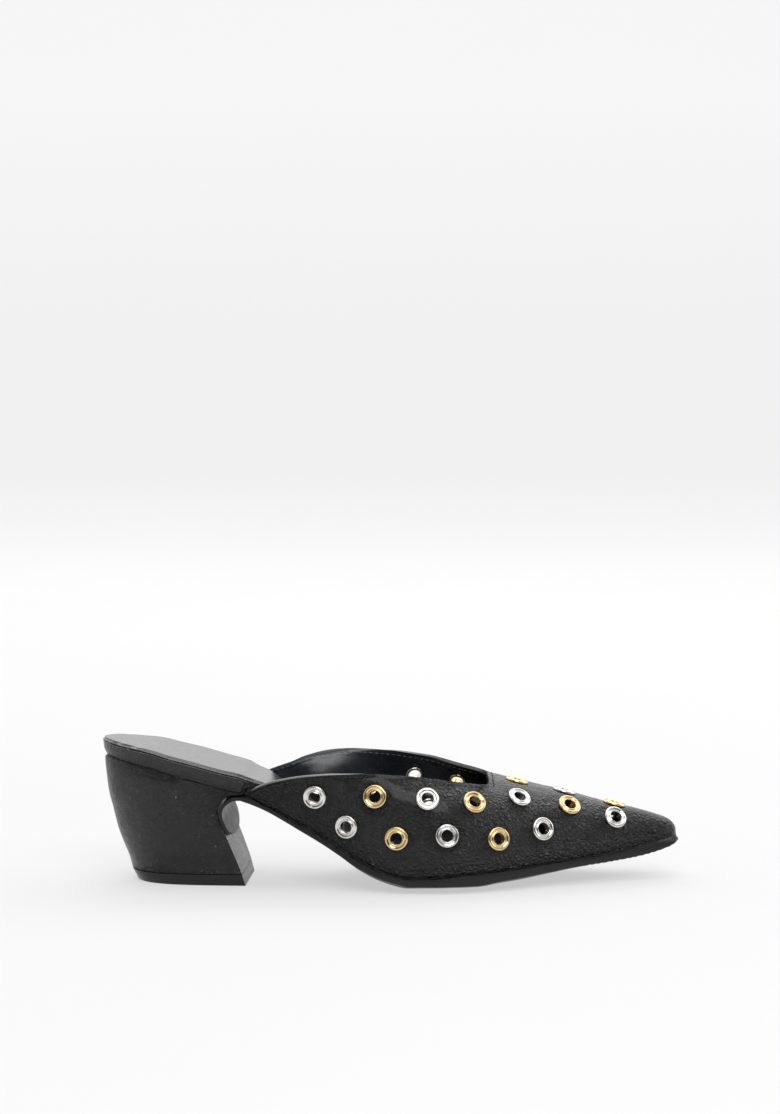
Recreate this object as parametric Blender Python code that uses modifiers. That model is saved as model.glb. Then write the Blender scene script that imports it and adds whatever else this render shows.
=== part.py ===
"""Block heel mule, right shoe, in metres.

The toe points along +X, the lateral side faces -Y and the shoe stands on Z = 0. Sections are set out from the
back of the seat to the tip of the toe and are placed by the lateral edge of the last.
"""
import math

import bmesh
import bpy
import numpy as np
from mathutils import Matrix, Vector

LENGTH = 0.258
BALL_WIDTH = 0.079
HEEL_HEIGHT = 0.056
UPPER_WALL = 0.0018
SOLE_WALL_WAIST = 0.0015
SOLE_WALL_BALL = 0.0038
SOLE_LIP = 0.0010
GAP = 0.0003
FOOTBED_SEAT = 0.0062
FOOTBED_BALL = 0.0026
FOOTBED_LEAN = 0.0018
FOOTBED_PLAY = 0.0012
SOCK_WALL = 0.0010
SOCK_INSET = 0.0025
LIFT_HEIGHT = 0.0053
EYELET_RADIUS = 0.00525
EYELET_BORE = 0.00262
EYELET_HOLE = 0.0033
EYELET_RISE = 0.0014
EYELET_LIP = 0.0013
EYELET_TUCK = 0.0007

# The last: place along it and how far a section slants are shares of the length and of the section's own
# width, the two edges are shares of the ball width and the feather height is a share of the heel height.
LAST_COLUMNS = ("along", "lateral", "medial", "feather", "slant")
LAST = (
    (0.0000, 0.015, 0.015, 1.011, 0.065),
    (0.0039, -0.082, 0.108, 1.009, 0.065),
    (0.0155, -0.162, 0.177, 1.004, 0.065),
    (0.0349, -0.228, 0.235, 0.989, 0.065),
    (0.0581, -0.278, 0.278, 0.973, 0.065),
    (0.0853, -0.319, 0.311, 0.952, 0.065),
    (0.1240, -0.352, 0.337, 0.904, 0.065),
    (0.1589, -0.361, 0.342, 0.864, 0.065),
    (0.2054, -0.354, 0.342, 0.802, 0.065),
    (0.2481, -0.335, 0.323, 0.750, 0.060),
    (0.2791, -0.329, 0.297, 0.677, 0.050),
    (0.3178, -0.335, 0.272, 0.582, 0.030),
    (0.3798, -0.361, 0.253, 0.420, 0.000),
    (0.4457, -0.430, 0.304, 0.250, -0.040),
    (0.5000, -0.481, 0.380, 0.146, -0.065),
    (0.5426, -0.500, 0.437, 0.123, -0.074),
    (0.5775, -0.500, 0.475, 0.127, -0.070),
    (0.6202, -0.481, 0.497, 0.146, -0.050),
    (0.6698, -0.430, 0.494, 0.157, -0.010),
    (0.7209, -0.354, 0.449, 0.171, -0.030),
    (0.7713, -0.272, 0.386, 0.188, -0.050),
    (0.8256, -0.196, 0.323, 0.209, -0.060),
    (0.8721, -0.133, 0.278, 0.229, -0.060),
    (0.9070, -0.082, 0.247, 0.248, -0.060),
    (0.9380, -0.038, 0.222, 0.268, -0.060),
    (0.9651, -0.013, 0.196, 0.296, -0.060),
    (0.9845, 0.004, 0.177, 0.316, -0.060),
    (0.9938, 0.023, 0.156, 0.325, -0.060),
    (0.9973, 0.051, 0.129, 0.329, -0.060),
    (0.9984, 0.071, 0.109, 0.330, -0.060),
)

# The wings' top edge on each side: reach is a share of the ball width, height a share of the heel height.
TOPLINE_COLUMNS = ("along", "lateral", "lateral_height", "medial", "medial_height")
TOPLINE = (
    (0.2496, -0.333, 0.756, 0.319, 0.756),
    (0.2597, -0.334, 0.771, 0.315, 0.772),
    (0.2733, -0.338, 0.799, 0.306, 0.797),
    (0.2868, -0.343, 0.823, 0.296, 0.822),
    (0.3178, -0.354, 0.862, 0.286, 0.865),
    (0.3450, -0.367, 0.885, 0.296, 0.908),
    (0.3798, -0.380, 0.904, 0.319, 0.941),
    (0.4147, -0.392, 0.914, 0.334, 0.957),
    (0.4512, -0.392, 0.919, 0.347, 0.961),
    (0.5167, -0.380, 0.904, 0.357, 0.954),
    (0.5864, -0.335, 0.861, 0.348, 0.914),
    (0.6264, -0.291, 0.826, 0.311, 0.862),
    (0.6512, -0.261, 0.807, 0.286, 0.827),
    (0.6636, -0.235, 0.800, 0.261, 0.812),
)

# The vamp's middle line from the throat to the tip.
CREST_COLUMNS = ("along", "height")
CREST = (
    (0.6698, 0.827),
    (0.7016, 0.791),
    (0.7403, 0.750),
    (0.7946, 0.696),
    (0.8256, 0.659),
    (0.8721, 0.600),
    (0.9070, 0.561),
    (0.9380, 0.527),
    (0.9651, 0.491),
    (0.9845, 0.457),
    (0.9938, 0.421),
    (0.9973, 0.386),
    (0.9984, 0.330),
)

# Underside of the sole: height of its edge and how much lower its middle is, both shares of the heel height.
SOLE_COLUMNS = ("along", "edge", "drop")
SOLE = (
    (0.2581, 0.677, 0.005),
    (0.2779, 0.638, 0.007),
    (0.2946, 0.600, 0.009),
    (0.3163, 0.543, 0.012),
    (0.3380, 0.484, 0.016),
    (0.3787, 0.375, 0.023),
    (0.4136, 0.277, 0.032),
    (0.4465, 0.182, 0.043),
    (0.4795, 0.116, 0.054),
    (0.5128, 0.075, 0.064),
    (0.5310, 0.057, 0.057),
    (0.6473, 0.057, 0.057),
    (0.6860, 0.080, 0.061),
    (0.7233, 0.095, 0.057),
    (0.7713, 0.118, 0.046),
    (0.8256, 0.148, 0.036),
    (0.8643, 0.161, 0.029),
    (0.8992, 0.175, 0.023),
    (0.9322, 0.191, 0.018),
    (0.9535, 0.211, 0.014),
    (0.9767, 0.241, 0.011),
    (0.9922, 0.271, 0.009),
    (1.0000, 0.296, 0.007),
)

# The sole's turn round the arch and down the heel breast, as its outer line: place is a share of the length,
# height of the heel height, and reach a share of the heel's own width there.
ARCH_COLUMNS = ("along", "height", "reach")
ARCH = (
    (0.2420, 0.697, 1.00),
    (0.2310, 0.694, 1.00),
    (0.2205, 0.671, 1.00),
    (0.2130, 0.631, 1.00),
    (0.2110, 0.585, 1.00),
    (0.2130, 0.540, 1.00),
    (0.2160, 0.507, 1.00),
    (0.2195, 0.466, 0.93),
    (0.2225, 0.432, 0.80),
    (0.2252, 0.402, 0.56),
    (0.2268, 0.384, 0.22),
)

# Sections of the heel from the tip up to the seat: its back and its breast, and how far its outline has
# grown from the outline of the top lift to that of the seat.
HEEL_COLUMNS = ("back", "back_height", "breast", "breast_height", "growth")
HEEL = (
    (0.0508, 0.095, 0.2442, 0.095, 0.17),
    (0.0460, 0.179, 0.2375, 0.179, 0.26),
    (0.0364, 0.300, 0.2285, 0.280, 0.44),
    (0.0271, 0.429, 0.2195, 0.380, 0.61),
    (0.0178, 0.605, 0.2105, 0.480, 0.78),
    (0.0140, 0.671, 0.2040, 0.545, 0.85),
    (0.0105, 0.763, 0.2020, 0.600, 0.91),
    (0.0078, 0.866, 0.2070, 0.665, 0.96),
    (0.0065, 0.940, 0.2200, 0.720, 0.985),
    (0.0058, 1.0035, 0.2460, 0.745, 1.0),
)

# Outline of the top lift against that of the seat, from the breast to the back.
LIFT_COLUMNS = ("along", "lateral", "medial", "seat")
LIFT = (
    (0.2500, -0.252, 0.226, 0.2460),
    (0.2180, -0.246, 0.224, 0.2054),
    (0.1860, -0.238, 0.220, 0.1700),
    (0.1540, -0.226, 0.213, 0.1380),
    (0.1240, -0.207, 0.200, 0.1080),
    (0.0980, -0.172, 0.172, 0.0800),
    (0.0790, -0.126, 0.134, 0.0540),
    (0.0690, -0.082, 0.096, 0.0330),
    (0.0630, -0.036, 0.054, 0.0155),
    (0.0601, 0.000, 0.018, 0.0039),
)

# Eyelets on each side: place along the lateral edge and height up the wall as a share, then the metal.
SIDE_EYELET_COLUMNS = ("name", "lateral_along", "lateral_up", "medial_along", "medial_up", "metal")
SIDE_EYELETS = (
    ("upper_row_1", 0.3697, 0.51, 0.3697, 0.385, "silver"),
    ("upper_row_2", 0.4731, 0.64, 0.4731, 0.50, "gold"),
    ("upper_row_3", 0.5633, 0.675, 0.5610, 0.65, "silver"),
    ("upper_row_4", 0.6427, 0.69, 0.6310, 0.69, "gold"),
    ("upper_row_5", 0.7224, 0.82, 0.7224, 0.82, "silver"),
    ("upper_row_6", 0.8104, 0.80, 0.8104, 0.80, "gold"),
    ("upper_row_7", 0.8898, 0.66, 0.8898, 0.66, "silver"),
    ("lower_row_1", 0.4240, 0.26, 0.4240, 0.25, "silver"),
    ("lower_row_2", 0.5096, 0.30, 0.5060, 0.27, "gold"),
    ("lower_row_3", 0.5955, 0.35, 0.5860, 0.35, "silver"),
    ("lower_row_4", 0.6832, 0.31, 0.6760, 0.31, "gold"),
    ("lower_row_5", 0.7611, 0.41, 0.7611, 0.41, "silver"),
)
MIDDLE_EYELETS = (
    ("middle_row_1", 0.7231, "gold"),
    ("middle_row_2", 0.8074, "silver"),
    ("middle_row_3", 0.8931, "gold"),
)


def steady(knots, values, at):
    """Cubic through the rows that doesn't overshoot and keeps level stretches level."""
    k = np.asarray(knots, float)
    v = np.asarray(values, float)
    step = np.diff(k)
    rise = np.diff(v) / step
    slope = np.zeros_like(v)
    slope[0] = rise[0]
    slope[-1] = rise[-1]
    before, after = rise[:-1], rise[1:]
    same = before * after > 0
    w1 = 2 * step[1:] + step[:-1]
    w2 = step[1:] + 2 * step[:-1]
    safe_before = np.where(same, before, 1.0)
    safe_after = np.where(same, after, 1.0)
    slope[1:-1] = np.where(same, (w1 + w2) / (w1 / safe_before + w2 / safe_after), 0.0)
    at = np.clip(at, k[0], k[-1])
    i = np.clip(np.searchsorted(k, at, side="right") - 1, 0, len(k) - 2)
    t = (at - k[i]) / step[i]
    return (
        (2 * t**3 - 3 * t**2 + 1) * v[i]
        + (t**3 - 2 * t**2 + t) * step[i] * slope[i]
        + (3 * t**2 - 2 * t**3) * v[i + 1]
        + (t**3 - t**2) * step[i] * slope[i + 1]
    )


def through(points, at):
    """Smooth curve through a few points, at a share of the way from knot to knot."""
    pts = np.asarray(points, float)
    knots = np.concatenate(([0.0], np.cumsum(np.linalg.norm(np.diff(pts, axis=0), axis=1) + 1e-9)))
    rise = np.diff(pts, axis=0) / np.diff(knots)[:, None]
    slope = np.empty_like(pts)
    slope[0] = rise[0]
    slope[-1] = rise[-1]
    step = np.diff(knots)
    share = (step[1:] / (step[1:] + step[:-1]))[:, None]
    slope[1:-1] = rise[:-1] * share + rise[1:] * (1 - share)
    i = min(int(at), len(pts) - 2)
    t = at - i
    return (
        (2 * t**3 - 3 * t**2 + 1) * pts[i]
        + (t**3 - 2 * t**2 + t) * step[i] * slope[i]
        + (3 * t**2 - 2 * t**3) * pts[i + 1]
        + (t**3 - t**2) * step[i] * slope[i + 1]
    )


def column(table, names, name):
    return np.array([row[names.index(name)] for row in table], float)


LAST_ALONG = column(LAST, LAST_COLUMNS, "along")
LAST_X = (LAST_ALONG - 0.5) * LENGTH
LAST_LATERAL = column(LAST, LAST_COLUMNS, "lateral") * BALL_WIDTH
LAST_MEDIAL = column(LAST, LAST_COLUMNS, "medial") * BALL_WIDTH
LAST_RUN = np.concatenate(([0.0], np.cumsum(np.hypot(np.diff(LAST_X), np.diff(LAST_LATERAL)))))


def run_at(along):
    """Distance round the lateral edge at a share of the length."""
    return float(np.interp(along, LAST_ALONG, LAST_RUN))


def last_edges(run):
    """The feather points of one section, lateral then medial."""
    x = float(steady(LAST_RUN, LAST_X, run))
    y0 = float(steady(LAST_RUN, LAST_LATERAL, run))
    y1 = float(steady(LAST_RUN, LAST_MEDIAL, run))
    z = float(steady(LAST_RUN, column(LAST, LAST_COLUMNS, "feather"), run)) * HEEL_HEIGHT
    slant = float(steady(LAST_RUN, column(LAST, LAST_COLUMNS, "slant"), run))
    return np.array((x, y0, z)), np.array((x + slant * (y1 - y0), y1, z))


def inset_edges(run, inset):
    """The same section with both edges moved into the shoe, square to the outline."""
    step = LENGTH * 0.003
    ends = []
    behind = last_edges(max(run - step, 0.0))
    ahead = last_edges(min(run + step, LAST_RUN[-1]))
    here = last_edges(run)
    for side in (0, 1):
        way = ahead[side][:2] - behind[side][:2]
        way = way / (np.linalg.norm(way) + 1e-12)
        inward = np.array((-way[1], way[0])) if side == 0 else np.array((way[1], -way[0]))
        point = here[side].copy()
        point[:2] += inward * inset
        ends.append(point)
    return ends


THROAT = run_at(CREST[0][0])
TAIL = run_at(TOPLINE[0][0])
TIP = LAST_RUN[-1]


def shoulder(run, side):
    """The wall's top edge: the topline behind the throat, the vamp's shoulder ahead of it."""
    low = last_edges(run)
    middle = 0.5 * (low[0] + low[1])
    crest = float(steady(column(CREST, CREST_COLUMNS, "along"), column(CREST, CREST_COLUMNS, "height"),
                         (low[0][0] / LENGTH) + 0.5)) * HEEL_HEIGHT
    reach = low[side] - middle
    vamp = middle + reach * 0.45
    vamp[2] = low[side][2] + 0.96 * (crest - low[side][2])
    top = middle.copy()
    top[2] = crest
    if run >= THROAT:
        return vamp, top
    name = ("lateral", "medial")[side]
    at_throat = shoulder(THROAT, side)[0]
    knots = np.append([run_at(a) for a in column(TOPLINE, TOPLINE_COLUMNS, "along")], THROAT)
    y = np.append(column(TOPLINE, TOPLINE_COLUMNS, name) * BALL_WIDTH, at_throat[1])
    z = np.append(column(TOPLINE, TOPLINE_COLUMNS, name + "_height") * HEEL_HEIGHT, at_throat[2])
    height = float(steady(knots, z, run))
    slant = (low[1][0] - low[0][0]) / (low[1][1] - low[0][1])
    reach_y = float(steady(knots, y, run))
    point = np.array((low[0][0] + slant * (reach_y - low[0][1]), reach_y, height))
    return point, top


def section(run, side):
    """Points up one side of a section, from the feather to the middle of the vamp."""
    foot = last_edges(run)[side]
    edge, top = shoulder(run, side)
    dy = edge[:2] - foot[:2]
    dz = edge[2] - foot[2]
    low = np.array((*(foot[:2] + dy * 0.08), foot[2] + dz * 0.42))
    high = np.array((*(foot[:2] + dy * 0.42), foot[2] + dz * 0.80))
    beyond = edge + (edge - high) * 1.3
    beyond[:2] += (edge - high)[:2] * 0.8
    blend = min(max((run - THROAT) / (LENGTH * 0.062) + 1.0, 0.0), 1.0)
    blend = blend * blend * (3 - 2 * blend)
    return [foot, low, high, edge, beyond * (1 - blend) + top * blend]


def upper_point(run, side, up):
    """A point on the upper's outside: up is 0 at the feather, 1 at the shoulder and 2 at the middle line."""
    pts = section(run, side)
    if run >= THROAT - 1e-9:
        far = section(run, 1 - side)
        pts = pts + far[3::-1]
    else:
        up = min(up, 1.0)
    at = up * 3.0 if up <= 1.0 else 3.0 + (up - 1.0)
    return through(pts, at)


def upper_frame(run, side, up):
    """Point, outward normal and the direction towards the toe."""
    here = upper_point(run, side, up)
    d = LENGTH * 0.005
    ahead = upper_point(run + d, side, up) - upper_point(run - d, side, up)
    step = 0.02
    climb = upper_point(run, side, up + step) - upper_point(run, side, up - step)
    normal = np.cross(ahead, climb) if side == 0 else np.cross(climb, ahead)
    normal = normal / np.linalg.norm(normal)
    return here, normal, ahead / np.linalg.norm(ahead)


def material(name, color, rough, metal=0.0):
    mat = bpy.data.materials.new(name)
    mat.use_nodes = True
    shader = mat.node_tree.nodes["Principled BSDF"]
    shader.inputs["Base Color"].default_value = (*color, 1.0)
    shader.inputs["Roughness"].default_value = rough
    shader.inputs["Metallic"].default_value = metal
    return mat


def add(name, mesh, collection, mat):
    obj = bpy.data.objects.new(name, mesh)
    collection.objects.link(obj)
    obj.data.materials.append(mat)
    return obj


def mesh_from(name, verts, faces):
    """A mesh with its faces turned to agree with each other."""
    mesh = bpy.data.meshes.new(name)
    mesh.from_pydata([tuple(v) for v in verts], [], faces)
    bm = bmesh.new()
    bm.from_mesh(mesh)
    bmesh.ops.recalc_face_normals(bm, faces=bm.faces)
    bm.to_mesh(mesh)
    bm.free()
    mesh.validate()
    return mesh


def lattice(name, points):
    """Closed mesh of the outside of a block of points, indexed by section, by place across and by level."""
    pts = np.asarray(points, float)
    a, b, c = pts.shape[:3]
    index = {}
    verts = []

    def corner(i, j, k):
        key = (i, j, k)
        if key not in index:
            index[key] = len(verts)
            verts.append(pts[i, j, k])
        return index[key]

    faces = []
    for i in range(a - 1):
        for j in range(b - 1):
            for k in (0, c - 1):
                faces.append([corner(i, j, k), corner(i + 1, j, k), corner(i + 1, j + 1, k), corner(i, j + 1, k)])
    for i in range(a - 1):
        for k in range(c - 1):
            for j in (0, b - 1):
                faces.append([corner(i, j, k), corner(i + 1, j, k), corner(i + 1, j, k + 1), corner(i, j, k + 1)])
    for j in range(b - 1):
        for k in range(c - 1):
            for i in (0, a - 1):
                faces.append([corner(i, j, k), corner(i, j + 1, k), corner(i, j + 1, k + 1), corner(i, j, k + 1)])
    return mesh_from(name, verts, faces)


def across(start, end, count, bow=0.0):
    """Points from one edge to the other, bowed down in the middle."""
    out = []
    for j in range(count):
        t = j / (count - 1)
        p = start * (1 - t) + end * t
        p[2] -= bow * (1 - abs(2 * t - 1) ** 2.4)
        out.append(p)
    return out


def upper_mesh(rows_wing=19, rows_vamp=14, rows_up=5, rows_roof=4):
    """The upper's outside as one open sheet: two walls joined by the vamp's top ahead of the throat."""
    runs = list(np.linspace(TAIL, THROAT, rows_wing, endpoint=False))
    front = run_at(0.9651)
    runs += list(np.linspace(THROAT, front, rows_vamp, endpoint=False))
    runs += [run_at(a) for a in (0.9651, 0.9760, 0.9860, 0.9938, 0.9973)] + [TIP]
    ups = [i / rows_up for i in range(rows_up + 1)]
    roof = [1 + i / rows_roof for i in range(1, rows_roof + 1)]
    verts = []
    grid = []
    for run in runs:
        line = []
        full = run >= THROAT - 1e-9
        lateral = ups + (roof if full else [])
        medial = (roof[-2::-1] if full else []) + ups[::-1]
        for side, places in ((0, lateral), (1, medial)):
            for up in places:
                point = upper_point(run, side, up)
                point[2] += GAP
                line.append(len(verts))
                verts.append(point)
        grid.append(line)
    faces = []
    wall = rows_up + 1
    for near, far in zip(grid[:-1], grid[1:]):
        a_parts = [(near[:wall], far[:wall]), (near[-wall:], far[-wall:])]
        if len(near) == len(far) and len(near) > 2 * wall:
            a_parts = [(near, far)]
        for low, high in a_parts:
            for j in range(len(low) - 1):
                faces.append([low[j], high[j], high[j + 1], low[j + 1]])
    return mesh_from("upper", verts, faces)


def ring_mesh(name, profile):
    """Closed profile line for a turned ring."""
    mesh = bpy.data.meshes.new(name)
    count = len(profile)
    mesh.from_pydata([(r, 0.0, h) for r, h in profile], [(i, (i + 1) % count) for i in range(count)], [])
    return mesh


def eyelet_profile():
    """Outer flange, barrel and the smaller flange on the lining side, from the bore outwards."""
    inside = -UPPER_WALL - 3.5 * GAP
    return (
        (EYELET_BORE, EYELET_LIP),
        (EYELET_RADIUS * 0.86, EYELET_RISE),
        (EYELET_RADIUS, GAP * 2),
        (EYELET_HOLE - GAP, GAP * 2),
        (EYELET_HOLE - GAP, inside),
        (EYELET_RADIUS * 0.78, inside),
        (EYELET_BORE, inside - EYELET_TUCK),
    )


def place(obj, frame, lift=0.0):
    """Stand an object on a surface point, its Z along the outward normal."""
    here, normal, ahead = frame
    z = Vector(normal)
    x = (Vector(ahead) - z * Vector(ahead).dot(z)).normalized()
    y = z.cross(x)
    turn = Matrix((x, y, z)).transposed().to_4x4()
    obj.matrix_world = Matrix.Translation(Vector(here) + Vector((0, 0, GAP)) + z * lift) @ turn


def sole_sections():
    """Outer line of the sole with its inward direction, from the toe to the end of the flap."""
    rows = []
    along = column(SOLE, SOLE_COLUMNS, "along")
    edge = column(SOLE, SOLE_COLUMNS, "edge") * HEEL_HEIGHT
    drop = column(SOLE, SOLE_COLUMNS, "drop") * HEEL_HEIGHT
    places = list(np.linspace(TIP, run_at(0.93), 7)) + list(np.linspace(run_at(0.93), run_at(0.2581), 24)[1:])
    for run in places:
        low = inset_edges(run, -SOLE_LIP)
        share = min(max(low[0][0] / LENGTH + 0.5, along[0]), 1.0)
        z = float(steady(along, edge, share))
        slope = (float(steady(along, edge, share + 0.004)) - float(steady(along, edge, share - 0.004)))
        slope /= 0.008 * LENGTH
        if share < 0.262:
            slope = -0.25
        up = np.array((-slope, 0.0, 1.0)) / math.hypot(slope, 1.0)
        wall = min(max((low[0][2] - z) * up[2] - 2 * GAP, SOLE_WALL_WAIST), SOLE_WALL_BALL * 1.3)
        low[0][2] = z
        low[1][2] = z
        rows.append((low[0], low[1], up, wall, float(steady(along, drop, share))))
    return rows


def heel_level(share):
    """Height on the heel: the table's lowest row stands on the top lift and 1 is the full heel height."""
    lowest = HEEL[0][HEEL_COLUMNS.index("back_height")]
    return LIFT_HEIGHT + (np.asarray(share) - lowest) / (1 - lowest) * (HEEL_HEIGHT - LIFT_HEIGHT)


def heel_edges(x, z):
    """Lateral and medial sides of the heel where the arch line passes."""
    growth = float(steady(heel_level(column(HEEL, HEEL_COLUMNS, "breast_height")),
                          column(HEEL, HEEL_COLUMNS, "growth"), z))
    run = run_at(min(max(x / LENGTH + 0.5, 0.0), 0.2581))
    top = inset_edges(run, FOOTBED_LEAN * 0.5)
    lateral = LIFT[0][1] * BALL_WIDTH * (1 - growth) + top[0][1] * growth
    medial = LIFT[0][2] * BALL_WIDTH * (1 - growth) + top[1][1] * growth
    return lateral, medial


def outsole_mesh():
    """Loft of the sole: a cambered plate that turns down the heel breast as a rounded flap."""
    places = (-1.0, -0.9, -0.72, -0.45, 0.0, 0.45, 0.72, 0.9, 1.0)
    rows = []
    for lateral, medial, up, wall, drop in sole_sections():
        lift = []
        for level in (0.0, wall):
            line = []
            for s in places:
                p = lateral * (1 - s) / 2 + medial * (1 + s) / 2
                p = p + up * level
                sunk = min(1.0, (1.0 - abs(s)) / 0.55)
                p[2] -= drop * sunk * (2 - sunk)
                line.append(p)
            lift.append(line)
        rows.append(np.transpose(np.array(lift), (1, 0, 2)))
    x = (column(ARCH, ARCH_COLUMNS, "along") - 0.5) * LENGTH
    z = heel_level(column(ARCH, ARCH_COLUMNS, "height"))
    reach = column(ARCH, ARCH_COLUMNS, "reach")
    knots = np.concatenate(([0.0], np.cumsum(np.hypot(np.diff(x), np.diff(z)))))
    for at in np.concatenate((np.linspace(0, knots[6], 10), np.linspace(knots[6], knots[-1], 7)[1:])):
        here = through(np.column_stack((x, z)), at_knot(at, knots))
        step = knots[-1] * 0.01
        ahead = through(np.column_stack((x, z)), at_knot(min(at + step, knots[-1]), knots))
        back = through(np.column_stack((x, z)), at_knot(max(at - step, 0.0), knots))
        way = (ahead - back) / np.linalg.norm(ahead - back)
        up = np.array((way[1], 0.0, -way[0]))
        sides = heel_edges(here[0], here[1])
        middle = (sides[0] + sides[1]) / 2
        half = (sides[1] - sides[0]) / 2 * float(np.interp(at, knots, reach))
        block = []
        for s in places:
            y = middle + half * s
            x_here = here[0] + 0.065 * (y - sides[0])
            outer = np.array((x_here, y, here[1]))
            block.append([outer, outer + up * SOLE_WALL_WAIST])
        rows.append(np.array(block))
    return lattice("outsole", rows)


def at_knot(distance, knots):
    """Place on a curve through points, counted in points, at a distance along their chords."""
    i = int(np.clip(np.searchsorted(knots, distance, side="right") - 1, 0, len(knots) - 2))
    return i + (distance - knots[i]) / (knots[i + 1] - knots[i])


def lift_outline():
    """Top lift and seat outlines side by side, from the breast to the back."""
    rows = []
    breast_x = (LIFT[0][0] - 0.5) * LENGTH
    for along, lateral, medial, seat in LIFT:
        x = (along - 0.5) * LENGTH
        y0 = lateral * BALL_WIDTH
        y1 = medial * BALL_WIDTH
        top = inset_edges(run_at(seat), FOOTBED_LEAN)
        rows.append((x, y0, x + 0.065 * (y1 - y0), y1, top[0], top[1], breast_x))
    return rows


def heel_mesh():
    """Loft from the top lift's outline to the seat's, with the arched breast in front."""
    outline = lift_outline()
    count = 9
    sections = 15
    rows = np.linspace(0, len(HEEL) - 1, sections)
    knots = np.arange(len(HEEL), dtype=float)
    get = {name: column(HEEL, HEEL_COLUMNS, name) for name in HEEL_COLUMNS}
    levels = []
    for q in rows:
        back = (float(steady(knots, get["back"], q)) - 0.5) * LENGTH
        back_z = float(heel_level(steady(knots, get["back_height"], q)))
        breast = (float(steady(knots, get["breast"], q)) - 0.5) * LENGTH
        breast_z = float(heel_level(steady(knots, get["breast_height"], q)))
        growth = float(steady(knots, get["growth"], q))
        share_up = q / rows[-1]
        grid = []
        foot_span = outline[0][0] - outline[-1][0]
        top_span = outline[0][4][0] - outline[-1][4][0]
        for x, y0, x1, y1, top0, top1, _ in outline:
            foot_share = (x - outline[-1][0]) / foot_span
            top_share = (top0[0] - outline[-1][4][0]) / top_span
            along = foot_share * (1 - growth) + top_share * growth
            here_x = back + (breast - back) * along
            near = np.array((here_x, y0 * (1 - growth) + top0[1] * growth, 0.0))
            far_y = y1 * (1 - growth) + top1[1] * growth
            far = np.array((here_x + 0.065 * (far_y - near[1]), far_y, 0.0))
            straight = back_z + (breast_z - back_z) * along
            seat_z = top0[2] - GAP
            ends = (outline[-1][4][2] - GAP, outline[0][4][2] - GAP)
            seat_line = ends[0] + (ends[1] - ends[0]) * top_share
            height = straight + (seat_z - seat_line) * share_up**3
            near[2] = height
            far[2] = height
            grid.append(across(near, far, count))
        levels.append(grid)
    levels = np.array(levels)
    return lattice("heel_block", np.transpose(levels, (1, 2, 0, 3)))


def lift_mesh():
    """Flat slab under the heel, a little smaller than the heel's foot at its lower edge."""
    top = []
    low = []
    get = {name: column(HEEL, HEEL_COLUMNS, name) for name in HEEL_COLUMNS}
    outline = lift_outline()
    span = outline[0][0] - outline[-1][0]
    back_top = (get["back"][0] - 0.5) * LENGTH
    breast_top = (get["breast"][0] - 0.5) * LENGTH
    growth = get["growth"][0]
    for x, y0, x1, y1, top0, top1, _ in outline:
        share = (x - outline[-1][0]) / span
        xt = back_top + (breast_top - back_top) * share
        y0t = y0 * (1 - growth) + top0[1] * growth
        y1t = y1 * (1 - growth) + top1[1] * growth
        near = np.array((xt, y0t, LIFT_HEIGHT - GAP))
        far = np.array((xt + 0.065 * (y1t - y0t), y1t, LIFT_HEIGHT - GAP))
        top.append(across(near, far, 7))
        low.append(across(np.array((x, y0, 0.0)), np.array((x1, y1, 0.0)), 7))
    block = np.transpose(np.array((low, top)), (1, 2, 0, 3))
    return lattice("top_lift", block)


def footbed_rows():
    """Edges of the footbed's underside and top, from the seat's back to inside the toe."""
    inside = UPPER_WALL + 4 * GAP
    runs = [LAST_RUN[1] * 0.5 * k for k in (1, 2)] + list(np.linspace(LAST_RUN[2] * 0.9, run_at(0.2400), 11))
    runs += [run_at(a) for a in (0.2460, 0.2520, 0.2580, 0.2660)] + list(np.linspace(run_at(0.28), run_at(0.965), 18))
    along = column(SOLE, SOLE_COLUMNS, "along")
    edge = column(SOLE, SOLE_COLUMNS, "edge") * HEEL_HEIGHT
    rows = []
    for run in runs:
        share = last_edges(run)[0][0] / LENGTH + 0.5
        tuck = min(max((share - 0.2440) / 0.018, 0.0), 1.0)
        seat = 1 - min(max((share - 0.24) / 0.30, 0.0), 1.0)
        thick = FOOTBED_BALL + (FOOTBED_SEAT - FOOTBED_BALL) * seat**1.5
        low = inset_edges(run, FOOTBED_LEAN * (1 - tuck) + inside * tuck)
        top = inset_edges(run, inside * tuck)
        rows.append((low, top, thick, share, tuck))
    return rows


def footbed_mesh():
    """Wrapped board: its side shows round the seat and it drops inside the wings ahead of it."""
    along = column(SOLE, SOLE_COLUMNS, "along")
    drop = column(SOLE, SOLE_COLUMNS, "drop") * HEEL_HEIGHT
    rows = []
    for low, top, thick, share, tuck in footbed_rows():
        fall = float(steady(along, drop, max(share, along[0]))) * 0.25 * tuck
        rise = FOOTBED_PLAY * tuck
        slope = math.hypot(1.0, 0.55 * tuck if share < 0.48 else 0.0)
        under = [p + np.array((0, 0, rise)) for p in low]
        over = [p.copy() for p in top]
        for p, q in zip(over, low):
            p[2] = q[2] + rise + thick * slope
        block = np.array((across(under[0], under[1], 7, fall), across(over[0], over[1], 7, fall)))
        rows.append(np.transpose(block, (1, 0, 2)))
    return lattice("footbed", rows)


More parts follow.
